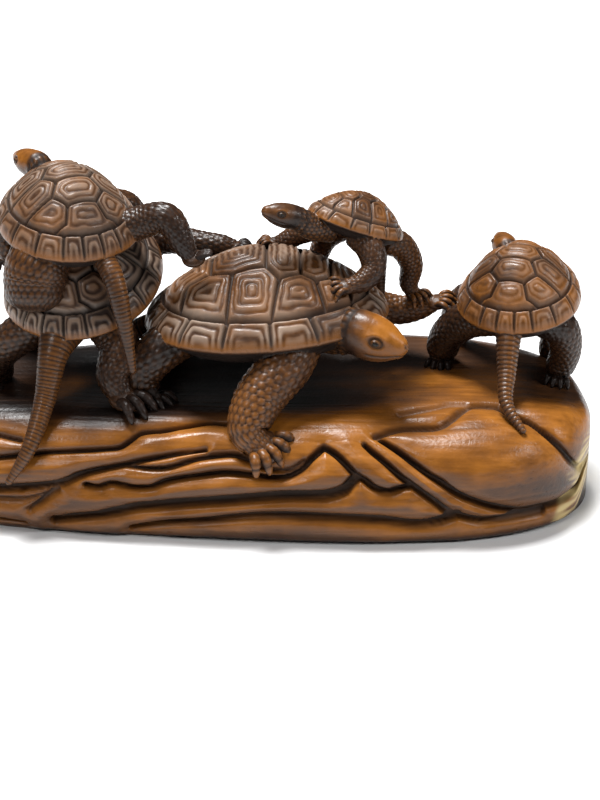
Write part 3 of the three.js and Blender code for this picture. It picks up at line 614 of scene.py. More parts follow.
# %% Tails
def tail_part(path, radii, ring, depth, cell, tone):
    """Rings of horn, each ring broken by shallow ridges, worn bright on their tops, with a painted highlight
    along one side.
    """
    tube = Tube(path, [(radius, radius) for radius in radii], cell, end_round=0.9)
    rings = np.abs(np.sin(math.pi * tube.way / ring)) ** 0.5
    ridges = np.abs(np.cos(tube.angle * 2.5 + 0.6)) ** 0.5
    bump = rings * (0.85 + 0.15 * ridges)
    tube.lay(depth * (bump - 0.5) * np.minimum(1, tube.wide / 2.2))
    # A painted highlight runs along one side of the tail, over the worn tops of the rings.
    wear_and_highlight = (0.25 + 0.75 * bell((np.sin(tube.angle + 0.8) - 0.9) / 0.5)) * np.clip(bump * 1.8 - 0.8, 0, 1)
    return tube.part(hollow=np.clip(0.85 - 1.35 * bump, 0, 1), crest=0.8 * wear_and_highlight, tone=tone + 0.1)


# %% [markdown]
# ## Heads
# The heads are left smooth and get the highest polish. The snout ends in a blunt beak with a
# mouth line and two nostrils. Each eye is a small bead in an almond hollow below a brow ridge,
# cut by hand and darkened with stain. The neck behind carries folds of scaly skin.

# %% Head surface
# Places are shares of the way from the head's middle to its nose, and of its half breadth and
# height. The skull has its share of the full breadth at each place, and each mark its height.
SKULL = ((-0.5, 0.96), (0, 1.03), (0.46, 0.88), (0.8, 0.64), (0.98, 0.36))
EYE_AHEAD, EYE_UP, EYE_SIZE = 0.36, 0.2, 0.22
MOUTH_HEIGHT, MOUTH_RISE = -0.46, 0.2
NECK_FOLDS, NECK_TONE = (-0.62, -0.9), 0.22
CARVED = dict(ball=0.13, socket=-0.075, brow=0.055, mouth=-0.06, nostril=-0.05, cheek=0.03)


def head_marks(f, s, h, wide, high, reach):
    """Masks of the eye and all that's cut round it, and the distance from the eye in its half sizes."""
    slant = (h - EYE_UP) * high + 0.12 * (f - EYE_AHEAD) * reach
    far = np.hypot((f - EYE_AHEAD) * reach * 0.9, 1.25 * slant)
    far = np.where(np.abs(s) > 0.25, far, 99.0) / (EYE_SIZE * wide)
    gape = (h - MOUTH_HEIGHT - MOUTH_RISE * np.clip(f, 0, 1) ** 2) * high
    marks = dict(
        ball=np.sqrt(np.clip(1 - far * far, 0, 1)),
        socket=bell((far - 1.22) / 0.3),
        brow=bell((far - 1.95) / 0.42) * ease(0.2, 0.5, h),
        mouth=bell(gape / (0.055 * wide)) * ease(0.02, 0.16, f),
        nostril=bell(np.hypot(np.abs(s) - 0.14, h - 0.16) / 0.07) * ease(0.84, 0.92, f),
        cheek=bell((f - 0.05) / 0.3) * bell((h + 0.1) / 0.4),
    )
    return marks, far


def head_part(neck, neck_radius, centre, nose, wide, high, scale, cell, tone, nape):
    middle, ahead = np.asarray(centre, float), np.asarray(nose, float) - np.asarray(centre, float)
    reach = np.linalg.norm(ahead)
    ahead = ahead / reach
    side = unit(np.cross(UP, ahead))
    above = np.cross(ahead, side)
    path = [*neck, *(middle + ahead * way * reach for way, _ in SKULL)]
    sections = [(neck_radius, neck_radius)] * len(neck) + [(wide * share, high * share) for _, share in SKULL]
    tube = Tube(path, sections, cell, end_round=0.8)
    offset = tube.grid - middle
    f, s, h = offset @ ahead / reach, offset @ side / wide, offset @ above / high
    skull = ease(-0.75, -0.35, f)
    marks, far = head_marks(f, s, h, wide, high, reach)
    carved = wide * sum(CARVED[name] * mark for name, mark in marks.items())
    bead = beads(tube.angle * beads_round(neck_radius, scale) / (2 * math.pi), tube.way / scale)
    folds = sum(bell((f - fold) / 0.07) for fold in NECK_FOLDS)
    skin = scale * (0.17 * bead - 0.08 - 0.18 * folds)
    tube.grid = tube.grid + grid_normals(tube.grid) * (skull * carved + (1 - skull) * skin)[..., None]
    dark = skull * (marks["socket"] + marks["mouth"] + marks["nostril"]) + (1 - skull) * (0.9 - bead + folds)
    wear_and_highlight = skull * (0.5 * marks["brow"] + 0.4 * ease(0.7, 1.0, f)) + (1 - skull) * 0.6 * bead**3
    # The skull is darker low down and, by nape, at the back: partly stain and partly painted shade from the
    # shell.
    skull_tone_and_painted_shade = tone - NECK_TONE - 0.2 * ease(0.1, -0.7, h) - nape * ease(0.25, -0.5, f)
    return tube.part(
        hollow=np.clip(dark, 0, 1),
        crest=np.clip(wear_and_highlight, 0, 1),
        tone=NECK_TONE + skull_tone_and_painted_shade * skull,
        eye=skull * np.clip(0.8 * bell(far / 1.05) + bell(far / 0.5), 0, 1),
    )


# %% [markdown]
# ## The five turtles
# The great one carries the small one on its back. Another lies under the topmost at the left.
# The sizes are those of the plain solid, so the fine pieces lie exactly where it does. Each
# shell has its middle at the height of its rim, and each limb runs from the hip to its foot.

# %% Turtle sizes
def limb(path, radii, centre, toward, up, size, toes=4, curl=0.0, darker=0.0, reach=1.0, ankle=0.4):
    """A leg from the hip to its foot; curl bends the toes up, and reach shortens them."""
    foot = dict(centre=centre, toward=toward, up=up, size=size, toes=toes, curl=curl, reach=reach)
    return dict(path=[*path, centre], radii=(*radii, size * ankle), foot=foot, darker=darker)


TURTLES = {
    "great_turtle": dict(
        shell=dict(centre=(9, 2, 59.5), heading=0, pitch=3, roll=0, length=77, width=58, dome=20.5,
                   plates=BROAD_SPINE, relief=1.0),
        neck=[(22, 0, 55), (32.5, -8, 57)], neck_radius=7, head=(41.2, -17.5, 59.3), nose=(50.6, -22, 57.4),
        wide=6.7, high=7.5, tail=[(-24, 3, 56), (-33, 5, 52), (-38, 8, 45)], tail_radii=(4, 3, 1.4),
        limbs=[
            limb([(20, -8, 55), (15.5, -19, 51), (6.5, -27, 42), (4, -32.5, 34)], (7, 7.8, 7.4, 6),
                 (8, -34.2, 30.8), (0.7, -0.5, -0.5), (0.1, -0.6, 0.8), 8.4, 5, reach=0.82),
            limb([(-16, -6, 56), (-24, -11, 52), (-29.5, -12, 44), (-29, -12, 37)], (7, 6.8, 5.6, 5),
                 (-27, -12.5, 36), (0.7, -0.6, -0.2), (0, -0.1, 1), 6, darker=0.3),
            limb([(26, 12, 56), (40, 19, 55), (53, 20, 53), (60, 18, 55.5)], (6.5, 5.6, 4.4, 3.8),
                 (63, 16.5, 57), (0.95, -0.25, 0.1), (-0.1, -0.2, 1), 5.4),
            limb([(-14, 14, 56), (-22, 22, 50), (-27, 26, 41), (-26, 27, 35)], (6.5, 6.4, 5.4, 5),
                 (-24, 27.5, 35), (0.8, 0.5, -0.2), (0, 0.2, 1), 6.4, 3),
        ],
        steps=196, cell=0.5, shade=(0.6, 0.46, 0.88), seed=11,
    ),
    "top_left_turtle": dict(
        shell=dict(centre=(-52.5, 4.5, 89.5), heading=116, pitch=10, roll=0, length=50, width=43, dome=17.2,
                   plates=NARROW_SPINE, relief=0.85),
        neck=[(-57, 14, 90), (-61, 20, 95)], neck_radius=4.6, head=(-65.6, 27, 100.4), nose=(-71, 34, 100.4),
        nape=0,
        wide=4.5, high=4.4, tail=[(-41, -10, 84), (-36.5, -17, 78), (-34, -20.5, 68), (-31.5, -22, 50)],
        tail_radii=(3.4, 3.2, 2.6, 1),
        limbs=[
            limb([(-40, -2, 87), (-29, -1, 90.5), (-21, -3.5, 92.5), (-16.5, -6, 86)], (5.4, 5, 4.6, 3.8),
                 (-13.5, -7.5, 81), (0.95, -0.2, 0.1), (-0.1, -0.4, 0.9), 5.2, 3, curl=1.0, darker=0.1),
            limb([(-54, -6, 86), (-59.5, -9.2, 80.5), (-61, -10.4, 75)], (7.6, 9.8, 9.8),
                 (-61.2, -12, 71), (-0.1, -0.6, -0.8), (0, -0.8, 0.6), 6.4, 3, darker=0.05, reach=0.5,
                 ankle=1.4),
            limb([(-44, 18, 90), (-36, 24, 87), (-33, 26, 82)], (4.8, 4.6, 4),
                 (-32, 27, 80), (0.7, 0.5, -0.3), (0.2, 0.3, 1), 4.8, 3),
            limb([(-66, 10, 88), (-73, 12, 83), (-72, 12, 76)], (4.8, 4.6, 4),
                 (-71, 12, 74), (-0.6, 0.5, -0.5), (-0.6, 0.1, 0.8), 4.8, 3),
        ],
        steps=150, cell=0.45, shade=(0.56, 0.3, 0.76), seed=23,
    ),
    "lower_left_turtle": dict(
        shell=dict(centre=(-48, 6.5, 70), heading=72, pitch=22, roll=0, length=56, width=50, dome=17,
                   plates=NARROW_SPINE, relief=0.8),
        neck=[(-43, 20, 71), (-42, 26, 73)], neck_radius=4.6, head=(-42.5, 32.5, 72), nose=(-45, 39, 69),
        wide=4.8, high=4.8,
        tail=[(-53, -8, 61), (-56, -17.5, 54), (-58.5, -24, 41.5), (-63, -33, 29), (-69.5, -36, 19)],
        tail_radii=(8.5, 4.6, 3.3, 2.3, 0.9), tail_rings=(1.15, 0.18),
        limbs=[
            limb([(-42, -4, 60), (-36.5, -9, 52.5), (-38, -14, 44)], (6.6, 6.4, 5.4),
                 (-35, -17, 38.6), (0.8, -0.5, -0.2), (0.1, -0.2, 1), 8.4),
            limb([(-60, -4, 60), (-70, -4, 53), (-76, 0, 45), (-77, 3, 37)], (6.2, 6, 5, 4.6),
                 (-78, 1, 34.5), (-0.4, -0.8, -0.3), (0, -0.1, 1), 6.2),
            limb([(-34, 22, 74), (-24, 22, 76.5), (-11, 18, 76.5), (-3, 16.5, 76)], (5.2, 4.6, 3.8, 3.4),
                 (-1, 16.2, 76), (0.95, -0.1, -0.1), (0, 0, 1), 4.4),
            limb([(-60, 20, 70), (-68, 26, 59), (-70, 28, 46), (-69, 28, 35)], (5.6, 5.4, 4.8, 4.4),
                 (-68, 28, 33.5), (0.1, 0.9, -0.3), (0, 0.3, 1), 5.8, 3),
        ],
        steps=150, cell=0.48, shade=(0.34, 0.2, 0.6), seed=37,
    ),
    "small_turtle": dict(
        shell=dict(centre=(36.8, 8, 87.2), heading=203, pitch=21, roll=0, length=33, width=24, dome=9.5,
                   plates=NARROW_SPINE, relief=0.7),
        neck=[(29, 4, 86.5), (23, 0, 88.8)], neck_radius=4.1, head=(15, -3.8, 93.6), nose=(8.7, -6, 95.8),
        wide=3.7, high=3.9, tail=[(45, 14, 79), (45, 16.5, 72), (45.5, 18, 58)], tail_radii=(2.8, 2.2, 1.2),
        limbs=[
            limb([(37.5, 4, 84.5), (41, -1, 82), (42, -4.5, 76.5), (38, -7.5, 73.2)], (4.4, 4.3, 3.7, 3.2),
                 (33.8, -8.5, 72.4), (-0.9, -0.25, -0.2), (-0.1, -0.35, 0.9), 5),
            limb([(27, 10, 85), (20, 13, 82), (14, 13, 79)], (3.6, 3.4, 2.8),
                 (11, 13, 78.6), (-0.95, -0.05, -0.1), (0, 0, 1), 4),
            limb([(46, 12, 80), (51.5, 14.5, 77), (55, 16.5, 70), (54.5, 17.5, 63)], (4.4, 4.2, 3.6, 3),
                 (56, 17, 59.8), (0.6, -0.6, -0.4), (0.1, -0.3, 0.9), 4.6),
            limb([(34, 16, 83), (28, 19, 78), (25, 20, 71)], (3.8, 3.6, 3),
                 (24, 20, 68.5), (-0.4, 0.8, -0.4), (0, 0.5, 0.9), 4.4, 3),
        ],
        steps=130, cell=0.36, shade=(0.66, 0.36, 0.6), seed=41,
    ),
    "right_turtle": dict(
        shell=dict(centre=(89.5, 11, 62), heading=72, pitch=10, roll=-2, length=45, width=39, dome=16,
                   plates=NARROW_SPINE, relief=0.4),
        neck=[(91, 22, 62), (89, 29, 65.5)], neck_radius=4.2, head=(86.5, 34.5, 69.8), nose=(85.2, 40, 71),
        nape=0, wide=4, high=4.2,
        tail=[(85.5, 0, 59), (84.5, -6, 56), (83.5, -14, 46), (83, -22, 39), (87.5, -30, 33.5)],
        tail_radii=(8, 4, 2.8, 2, 0.9), tail_rings=(1.5, 0.42),
        limbs=[
            limb([(82, 2, 58), (73, 8, 54.5), (67, 13, 47), (65.5, 15, 40)], (5.8, 6, 5.4, 5),
                 (65, 14, 37), (-0.3, -0.9, -0.2), (0, -0.1, 1), 5, darker=0.15, reach=0.8),
            limb([(96, 0, 58), (101.5, 1, 54.5), (104, 3.5, 46), (102.5, 5.5, 38)], (5.6, 5.6, 4.8, 4.4),
                 (102, 4.5, 35.2), (-0.2, -0.9, -0.3), (0.1, -0.1, 1), 4.8, darker=0.15, reach=0.8),
            limb([(82, 20, 58), (74, 27, 54), (71, 31, 46), (71, 32, 37)], (5.2, 5, 4.6, 4.2),
                 (71, 32.5, 34), (-0.6, 0.7, -0.3), (0, 0.2, 1), 5.6, 3),
            limb([(99, 18, 58), (103.5, 23, 54), (104, 25, 45), (102.5, 25, 36)], (5.2, 5, 4.6, 4.2),
                 (102, 26, 32.5), (0.3, 0.9, -0.3), (0.1, 0.3, 1), 5.6, 3),
        ],
        steps=150, cell=0.42, shade=(0.68, 0.31, 0.7), seed=53,
    ),
}
# %% Carving the turtles
# The breadth of a scale of skin: the least, and how it grows with the shell's length.
BEAD_LEAST, BEAD_SHARE = 0.9, 0.021


def turtle(name, shell, neck, neck_radius, head, nose, wide, high, tail, tail_radii, limbs, steps, cell,
           shade, seed, tail_rings=(1.2, 0.25), nape=0.3):
    """All parts of one turtle, from small to large, joined into one solid."""
    scale = BEAD_LEAST + shell["length"] * BEAD_SHARE
    shell_tone, skin_tone, head_tone = shade
    skull = (neck, neck_radius, head, nose, wide, high)
    parts = []
    for k, leg in enumerate(limbs):
        skin = skin_tone - leg["darker"]
        parts.append(limb_part(leg["path"], leg["radii"], scale, cell, skin, seed + k))
        parts += foot_parts(**leg["foot"], cell=cell * 0.8, tone=skin)
    parts.append(tail_part(tail, tail_radii, *tail_rings, cell * 0.7, skin_tone))
    parts.append(head_part(*skull, scale, cell * 0.75, head_tone, nape))
    parts.append(shell_part(**shell, steps=steps, tone=shell_tone, seed=seed))
    parts.sort(key=lambda part: len(part.faces))
    return unite(name, parts)


pieces = {}
for name, facts in TURTLES.items():
    pieces[name] = turtle(name, **facts)
    print(name, "has", triangles(pieces[name]), "triangles")


# %% [markdown]
# ## The log
# The turtles climb on a piece of driftwood: long strands of wood that lie against one another,
# parted by deep creases. The creases are drawn as lines on the log's skin, each point given by
# its place along the log and its way up the skin from the bottom edge. Every point of a fine
# grid then knows how far it is from the nearest crease: close by it's cut in, and farther off
# it swells, so each strand between two creases gets a rounded back.

# %% Log sizes
LOG = dict(length=225, half_depth=42, height=36, widest_at=12, under_sweep=20, front_square=3,
           back_square=3.9, broadest_at=42, left_narrowing=0.32, nose_top=25, nose_widest=18, nose_bottom=9,
           nose_tip=18)
GENTLE_FROM = 35  # creases that lie farther up the front than this have soft edges
EDGE_SHARP, EDGE_GENTLE, EDGE_BACK = 0.75, 1.6, 2.8  # how broadly the edge of a crease is rounded
FACES = (-43.4, 43.5)  # planes that the front and the back stay within
LEAST_HEIGHT = 0.25  # only the bottom edges touch the floor
STATIONS = ((-60, 76), (112.45, 404))  # rows of points up to each place, few where the log is plain
# Lines that rows of points run along, and the number of rows up to each of them. The rows above
# the last line reach a fixed way up the skin, and the plain back has the rest.
GUIDES = (
    ([(-112, 4), (-60, 2.5), (-32, 3.8), (-23, 6), (-11, 7.7), (7, 10.3), (20, 10.7), (32, 10.3), (44, 9.6),
      (56, 8.1), (67, 8), (80, 7.7), (94, 7.4), (112, 8)], 15),
    ([(-112, 10), (-72, 7), (-56, 5.6), (-48, 7), (-42, 8.2), (-30, 11.6), (-17, 13.6), (-2, 15.4),
      (16, 17.5), (28, 18.2), (36, 19.5), (46, 18.8), (53, 18), (60, 14.5), (67, 11.5), (75, 11),
      (87, 10.2), (100, 10.5), (112, 12)], 17),
    ([(-112, 17), (-72, 17.5), (-46, 18.4), (-38, 19.2), (-31, 18.5), (-26, 18.7), (-21, 20.8), (-11, 22.9),
      (-3, 24.2), (6, 23.7), (16.5, 24), (20.4, 26.4), (26.8, 31), (36, 26), (42, 26), (49, 25.5),
      (56, 20.5), (62, 18), (70, 15), (80, 13), (94, 12.5), (112, 16)], 22),
    ([(-112, 24), (-72, 26), (-48, 29), (-36, 31), (-29, 36), (-16, 39.2), (-8, 41.4), (10, 40.5), (30, 39),
      (44, 36.1), (57, 25.8), (68, 20), (80, 17), (95, 16.5), (105, 19), (112, 21)], 32),
)
FRONT_REACH, ROWS_ABOVE, ROWS_BEHIND = 56, 50, 44

# Each crease: its line, half its breadth at both ends, and its depth.
CREASES = (
    ([(-112, 24), (-72, 26), (-57, 28), (-48, 29), (-40, 30), (-35, 31), (-32, 33.5), (-29, 36),
      (-23, 37.2), (-16, 39.2), (-8, 41.4), (3, 40.5)], 0.3, 0.25, 1.8),
    ([(-112, 13), (-72, 15.6), (-54, 18.3), (-48, 21.3), (-44, 22.8), (-34, 25.4), (-29, 26.8), (-17, 29.7),
      (-9, 31.1)], 1.1, 0.1, 2.2),
    ([(-34, 25.2), (-26, 24.6), (-21, 25), (-17, 26.2), (-11, 28.4), (-6, 29.4), (0, 29.9),
      (4, 28.7)], 0.2, 0.5, 1.8),
    ([(-46, 18.4), (-42, 18), (-38, 19.3), (-31, 18.4), (-26, 18.7), (-21, 20.8), (-11, 22.9), (-3, 24.2),
      (6, 23.7), (12, 23.2), (16.5, 23.9), (20.4, 26.4), (23, 29.5), (26.8, 33.3)], 0.4, 0.6, 2.3),
    ([(26.8, 33.3), (30, 31.2), (33, 28.2), (36, 24.8), (39, 23), (42, 20.6), (46, 19.4), (50, 20.4),
      (53, 21)], 0.6, 0.6, 2.5),
    ([(-56, 5.2), (-48, 7), (-42, 8.2), (-30, 11.6), (-17, 13.6), (-2, 15.4), (16, 17.5), (28, 18.2),
      (33, 20), (36.5, 23.8)], 1.2, 1.3, 2.6),
    ([(-32, 3.8), (-23, 6), (-11, 7.7), (7, 10.3), (20, 10.7), (32, 10.3), (44, 9.6), (56, 8.1), (62, 9),
      (67, 10.8)], 0.7, 1.4, 2.5),
    ([(39, 34.3), (41.3, 31.9), (45.2, 28.4), (49, 24.7), (56, 19.2), (60.5, 15.5), (65, 11.7), (70, 9.6),
      (75, 8), (81, 7.7), (94, 7.4)], 0.3, 1.2, 2.5),
    ([(43.8, 36.1), (48.3, 32.6), (57.3, 25.2), (62, 22), (68, 17.6), (74.3, 14.3), (80.7, 11.6), (87, 9.6),
      (94, 9.3), (100.5, 9.6), (105, 11.6), (108.5, 14.5), (110.5, 18)], 0.3, 1.5, 2.9),
    ([(42.3, 37.2), (50, 40), (62, 40.3), (65.6, 43), (69, 46.8), (71.6, 49.2), (75.4, 49.5),
      (80.7, 48)], 0.15, 0.3, 1.4),
    ([(50, 46.8), (60, 49.2), (66, 50.8), (71, 50.4)], 0.1, 0.2, 0.7),
    ([(80.7, 48), (85, 42.6), (90, 38.4), (95, 33.8), (100, 29.2), (103.4, 25), (107.2, 21),
      (110, 18)], 0.3, 0.9, 2.1),
    ([(-64, 8.6), (-60, 12), (-55, 16.4)], 0.2, 0.8, 1.4),
    ([(-112, 11), (-72, 12), (-64, 12.6), (-56, 15.5)], 0.3, 0.2, 1.0),
    ([(-112, 5), (-84, 4), (-66, 3)], 0.6, 0.2, 1.8),
    ([(1, 37), (3.4, 30.2), (6.8, 26.9), (11.9, 25.6), (17.1, 26), (21, 28.5)], 0.2, 0.5, 1.2),
    ([(-102, 36), (-90, 33), (-78, 34), (-66, 31.5)], 0.2, 0.2, 1.1),
)
BACK_CREASES = (
    ([(-112, 8), (-50, 12), (0, 11), (50, 15), (98, 10)], 0.4, 0.4, 2.2),
    ([(-112, 18), (-40, 21), (10, 19), (62, 23), (98, 19)], 0.4, 0.3, 2.0),
    ([(-60, 11.5), (-20, 15), (24, 13.5), (46, 17), (76, 20)], 0.3, 0.3, 1.5),
)
# Broad rises and dips: a place along and up the skin, the breadth both ways, and the height.
SWELLINGS = ((82, 27, 24, 10, 1.8), (62, 60, 26, 16, 1), (-12, 68, 44, 17, -2.6))
BACK_SWELLINGS = ((20, 37, 110, 13, 5.5),)  # the crest along the top's far side
print(len(CREASES), "creases in front and", len(BACK_CREASES), "at the back")


# %% The plain log
def signed_power(value, exponent):
    return np.sign(value) * np.abs(value) ** exponent


def log_outline(x):
    """The plain section at one x: points from the front's bottom edge over the top to the back's."""
    half = LOG["length"] / 2
    end = min(1, abs(x) / half)
    lean = max(0, (LOG["broadest_at"] - x) / (half + LOG["broadest_at"]))
    depth = LOG["half_depth"] * (1 - LOG["left_narrowing"] * lean**1.4) * (1 - end**5) ** 0.5
    top = LOG["nose_top"] + (LOG["height"] - LOG["nose_top"]) * (1 - end**8) ** 0.5
    lift = ease(0.94, 1, end)
    widest = LOG["widest_at"] + (LOG["nose_widest"] - LOG["widest_at"]) * lift
    sweep = (widest - LOG["nose_bottom"] * lift) * LOG["under_sweep"] / LOG["widest_at"]
    floor_share = LOG["widest_at"] / LOG["under_sweep"]
    below = [math.asin(floor_share ** (LOG[side] / 2)) for side in ("front_square", "back_square")]
    angle = np.linspace(-below[0], math.pi + below[1], 260)
    square = np.where(angle < math.pi / 2, LOG["front_square"], LOG["back_square"])
    rise = signed_power(np.sin(angle), 2 / square)
    y = -depth * signed_power(np.cos(angle), 2 / square)
    z = widest + rise * np.where(rise > 0, top - widest, sweep)
    skin = np.concatenate([[0], np.cumsum(np.hypot(np.diff(y), np.diff(z)))])
    return y, z, skin, depth


def log_stations():
    """Places along the log that get a row of points, crowded towards its ends."""
    half = LOG["length"] / 2
    (knee, few), (tip, many) = STATIONS
    places = np.concatenate([np.linspace(-tip, knee, few, endpoint=False), np.linspace(knee, tip, many)])
    places = np.clip(places, -half + 0.05, half - 0.05)
    crowd = np.abs(places) / half
    return np.sign(places) * half * np.where(crowd > 0.9, 1 - (1 - crowd) ** 1.35 * 0.1**-0.35, crowd)


def log_grid():
    """Points of the plain log, the ways out, up the front and up the back, and how much is carved."""
    half = LOG["length"] / 2
    rows = []
    for x in log_stations():
        y, z, skin, depth = log_outline(x)
        whole = skin[-1]
        shrink = min(1, 0.45 * whole / FRONT_REACH)
        lines = [float(np.interp(x, *zip(*line))) for line, _ in GUIDES]
        marks = [mark * shrink for mark in (0, *lines, FRONT_REACH)]
        counts = [*(count for _, count in GUIDES), ROWS_ABOVE]
        runs = [np.linspace(*ends, count, endpoint=False) for *ends, count in zip(marks, marks[1:], counts)]
        ways = np.concatenate([*runs, np.linspace(marks[-1], whole, ROWS_BEHIND)])
        plain = np.stack([np.full(ways.shape, x), *(np.interp(ways, skin, side) for side in (y, z))], axis=-1)
        over, up = (np.interp(ways + 0.4, skin, side) - np.interp(ways - 0.4, skin, side) for side in (y, z))
        out = unit(np.stack([np.zeros(ways.shape), -up, over], axis=-1))
        fade = min(1, (half - abs(x)) / 5) ** 0.5 * min(1, depth / 24)
        rows.append((plain, out, ways / shrink, whole - ways, np.full(ways.shape, fade)))
    return [np.array(values) for values in zip(*rows)]


print("the log's skin is", round(log_outline(0)[2][-1]), "mm round at its middle")


# %% Creases
def off_crease(crease, x, way):
    """How far points lie outside the edges of a crease, below 0 inside it."""
    line, first, last, _ = crease
    t = np.linspace(0, 1, 9 * len(line))
    points = spline(np.array(line, float), t)
    widths = first + (last - first) * t
    nearest = np.full(x.shape, 99.0)
    (x0, s0), (x1, s1) = points.min(axis=0) - 9, points.max(axis=0) + 9
    near = (x > x0) & (x < x1) & (way > s0) & (way < s1)
    px, ps = x[near], way[near]
    best = np.full(px.shape, 99.0)
    for (ax, ay), (bx, by), wide, beyond in zip(points, points[1:], widths, widths[1:]):
        ex, ey = bx - ax, by - ay
        share = np.clip(((px - ax) * ex + (ps - ay) * ey) / (ex * ex + ey * ey), 0, 1)
        edge = wide + (beyond - wide) * share
        best = np.minimum(best, np.hypot(px - ax - share * ex, ps - ay - share * ey) - edge)
    nearest[near] = best
    return nearest


def crease_fields(x, way, behind):
    """How far each point is from the nearest crease, and how deep it's cut."""
    far, cut = np.full(x.shape, 99.0), np.zeros(x.shape)
    cuts = [(crease, behind, EDGE_BACK) for crease in BACK_CREASES]
    for crease in CREASES:
        high_up = min(up for _, up in crease[0]) > GENTLE_FROM
        cuts.append((crease, way, EDGE_GENTLE if high_up else EDGE_SHARP))
    for crease, measure, edge in cuts:
        off = off_crease(crease, x, measure)
        far = np.minimum(far, off)
        cut = np.maximum(cut, crease[3] * (1 - ease(-0.15, edge, off)))
    return np.maximum(far, 0), cut


# %% [markdown]
# The log's colours carry painted light and shade: the strands in front are bright amber, the top
# is dark at the left and lighter at the right, with a painted pool of light between the legs at
# the far left, the low part of the lobe at the right, the bottom edge and all that faces down are
# painted darker as shade, and a painted highlight runs along the strands beside their creases.
# At the right end the bark side is torn away, so the pale bare wood shows in fibres.

# %% Log surface
# Each of these is a line in two rows. The dark top begins at a way up the skin for places along the
# log, and the torn wood begins at a place along the log for ways up the skin, in front and behind.
TOP_EDGE = ((-112, -45, -30, 0, 30, 50, 112), (38, 35, 38, 44, 46, 50, 44))
TORN_FRONT = ((0, 3, 8, 15, 20, 26, 34, 42), (112, 96, 99, 104, 101, 105, 108, 113))
TORN_BACK = ((0, 6, 14, 24, 34), (109.5, 108, 110.5, 109.5, 113))
LOG_UNDER_SHADE, TURTLE_UNDER_SHADE = 0.42, 0.16  # how much darker an underside is


def log_masks(x, way, behind, far, cut, waves, ridges):
    # The top's tone: near black at the left and lighter towards the right, with a painted pool of light at
    # the far left, where light falls on the top between a tail and a leg.
    top_tone_with_painted_light = (0.04 + 0.6 * ease(15, 55, x) - 0.08 * ease(70, 100, x)
                 + 0.75 * bell((x + 54) / 10) * bell((way - 60) / 16)
                 + 0.18 * wobble(x / 8, way / 6, 12) * ease(0, 30, np.abs(x + 5)))
    upper = ease(-3, 8, way - np.interp(x, *TOP_EDGE))
    tone = (0.88 + 0.06 * ridges + 0.12 * waves) * (1 - upper) + (top_tone_with_painted_light + 0.05 * ridges) * upper
    # Painted shade: darker on the low part of the lobe at the right and towards the bottom edge.
    tone = tone - 0.22 * bell((x - 98) / 12) * bell((way - 16) / 6) - 0.25 * (1 - ease(0, 5, way))
    torn_from = np.minimum(np.interp(way, *TORN_FRONT), np.interp(behind, *TORN_BACK))
    fibres = np.clip(0.55 + 0.9 * wobble(x / 2, way * 1.7, 9), 0, 1)
    return {
        "hollow": np.clip(cut / 1.7 * (1 - 0.4 * ease(104, 110, x)), 0, 1),
        # crest: a painted highlight along the strands a little way from their creases, plus a little along
        # the ridges.
        "crest": np.clip(bell((far - 2.2) / 1.5) * 0.35 * (1 - upper) + 0.1 * ridges, 0, 1),
        "tone": tone,
        "bare": ease(0, 2.5, x - torn_from) * fibres,
    }


def log_part():
    plain, out, way, behind, fade = log_grid()
    x = plain[..., 0]
    far, cut = crease_fields(x, way, behind)
    on_top = ease(40, 58, way) * ease(26, 40, behind)
    waves = wobble(x / 17, way / 5.2, 3) * 0.5
    ridges = wobble(x / 22, way * 1.9, 5) * 0.55 + wobble(x / 13, way * 3.4, 6) * 0.35
    relief = (2.3 + 0.5 * waves) * (1 - np.exp(-far / 2.6)) * (1 - on_top) + 0.6 * on_top - 0.5
    relief = relief + 0.13 * ridges - cut
    for swellings, measure in ((SWELLINGS, way), (BACK_SWELLINGS, behind)):
        for place, at_skin, along, around, rise in swellings:
            relief = relief + rise * bell((x - place) / along) * bell((measure - at_skin) / around)
    edges = np.minimum(ease(0, 3, way), ease(0, 3, behind))
    grid = plain + out * (relief * fade * edges)[..., None]
    grid[..., 1] = np.clip(grid[..., 1], *FACES)
    grid[..., 2] = np.maximum(grid[..., 2], LEAST_HEIGHT)
    grid[:, [0, -1], 2] = 0
    tips = [np.array([side * LOG["length"] / 2, 0, LOG["nose_tip"]]) for side in (-1, 1)]
    return closed_grid(grid, log_masks(x, way, behind, far, cut, waves, ridges), *tips)


pieces["driftwood_log"] = unite("driftwood_log", [log_part()])
print("driftwood_log has", triangles(pieces["driftwood_log"]), "triangles")
# Painted shade on everything that faces down, on the log and on the turtles.
for name, piece in pieces.items():
    paint_underside_shade(piece, LOG_UNDER_SHADE if name == "driftwood_log" else TURTLE_UNDER_SHADE)


# %% [markdown]
# ## Stained and waxed boxwood
# Boxwood is pale and almost without grain. The carver stains it with a brown dye that gathers in
# every cut, and years of handling rub the high places back to orange and polish them. The masks
# also carry painted light: painted shade on undersides and on parts of the log, painted
# highlights on some crests, and a painted sheen on the shells' rings. The effects are made once,
# as groups of nodes with named inputs, and both materials use them.

# %% Node groups
def node_group(name, inputs, outputs):
    """An empty group with its sockets: (name, kind, value) for inputs and (name, kind) for outputs."""
    group = bpy.data.node_groups.new(name, "ShaderNodeTree")
    for label, kind, value in inputs:
        socket = group.interface.new_socket(name=label, in_out="INPUT", socket_type="NodeSocket" + kind)
        socket.default_value = value
    for label, kind in outputs:
        group.interface.new_socket(name=label, in_out="OUTPUT", socket_type="NodeSocket" + kind)
    return group, group.nodes.new("NodeGroupInput"), group.nodes.new("NodeGroupOutput")


def math_node(tree, operation, a, b, clamp=False):
    node = tree.nodes.new("ShaderNodeMath")
    node.operation, node.use_clamp = operation, clamp
    for socket, value in zip(node.inputs, (a, b)):
        if isinstance(value, (int, float)):
            socket.default_value = value
        else:
            tree.links.new(value, socket)
    return node.outputs[0]


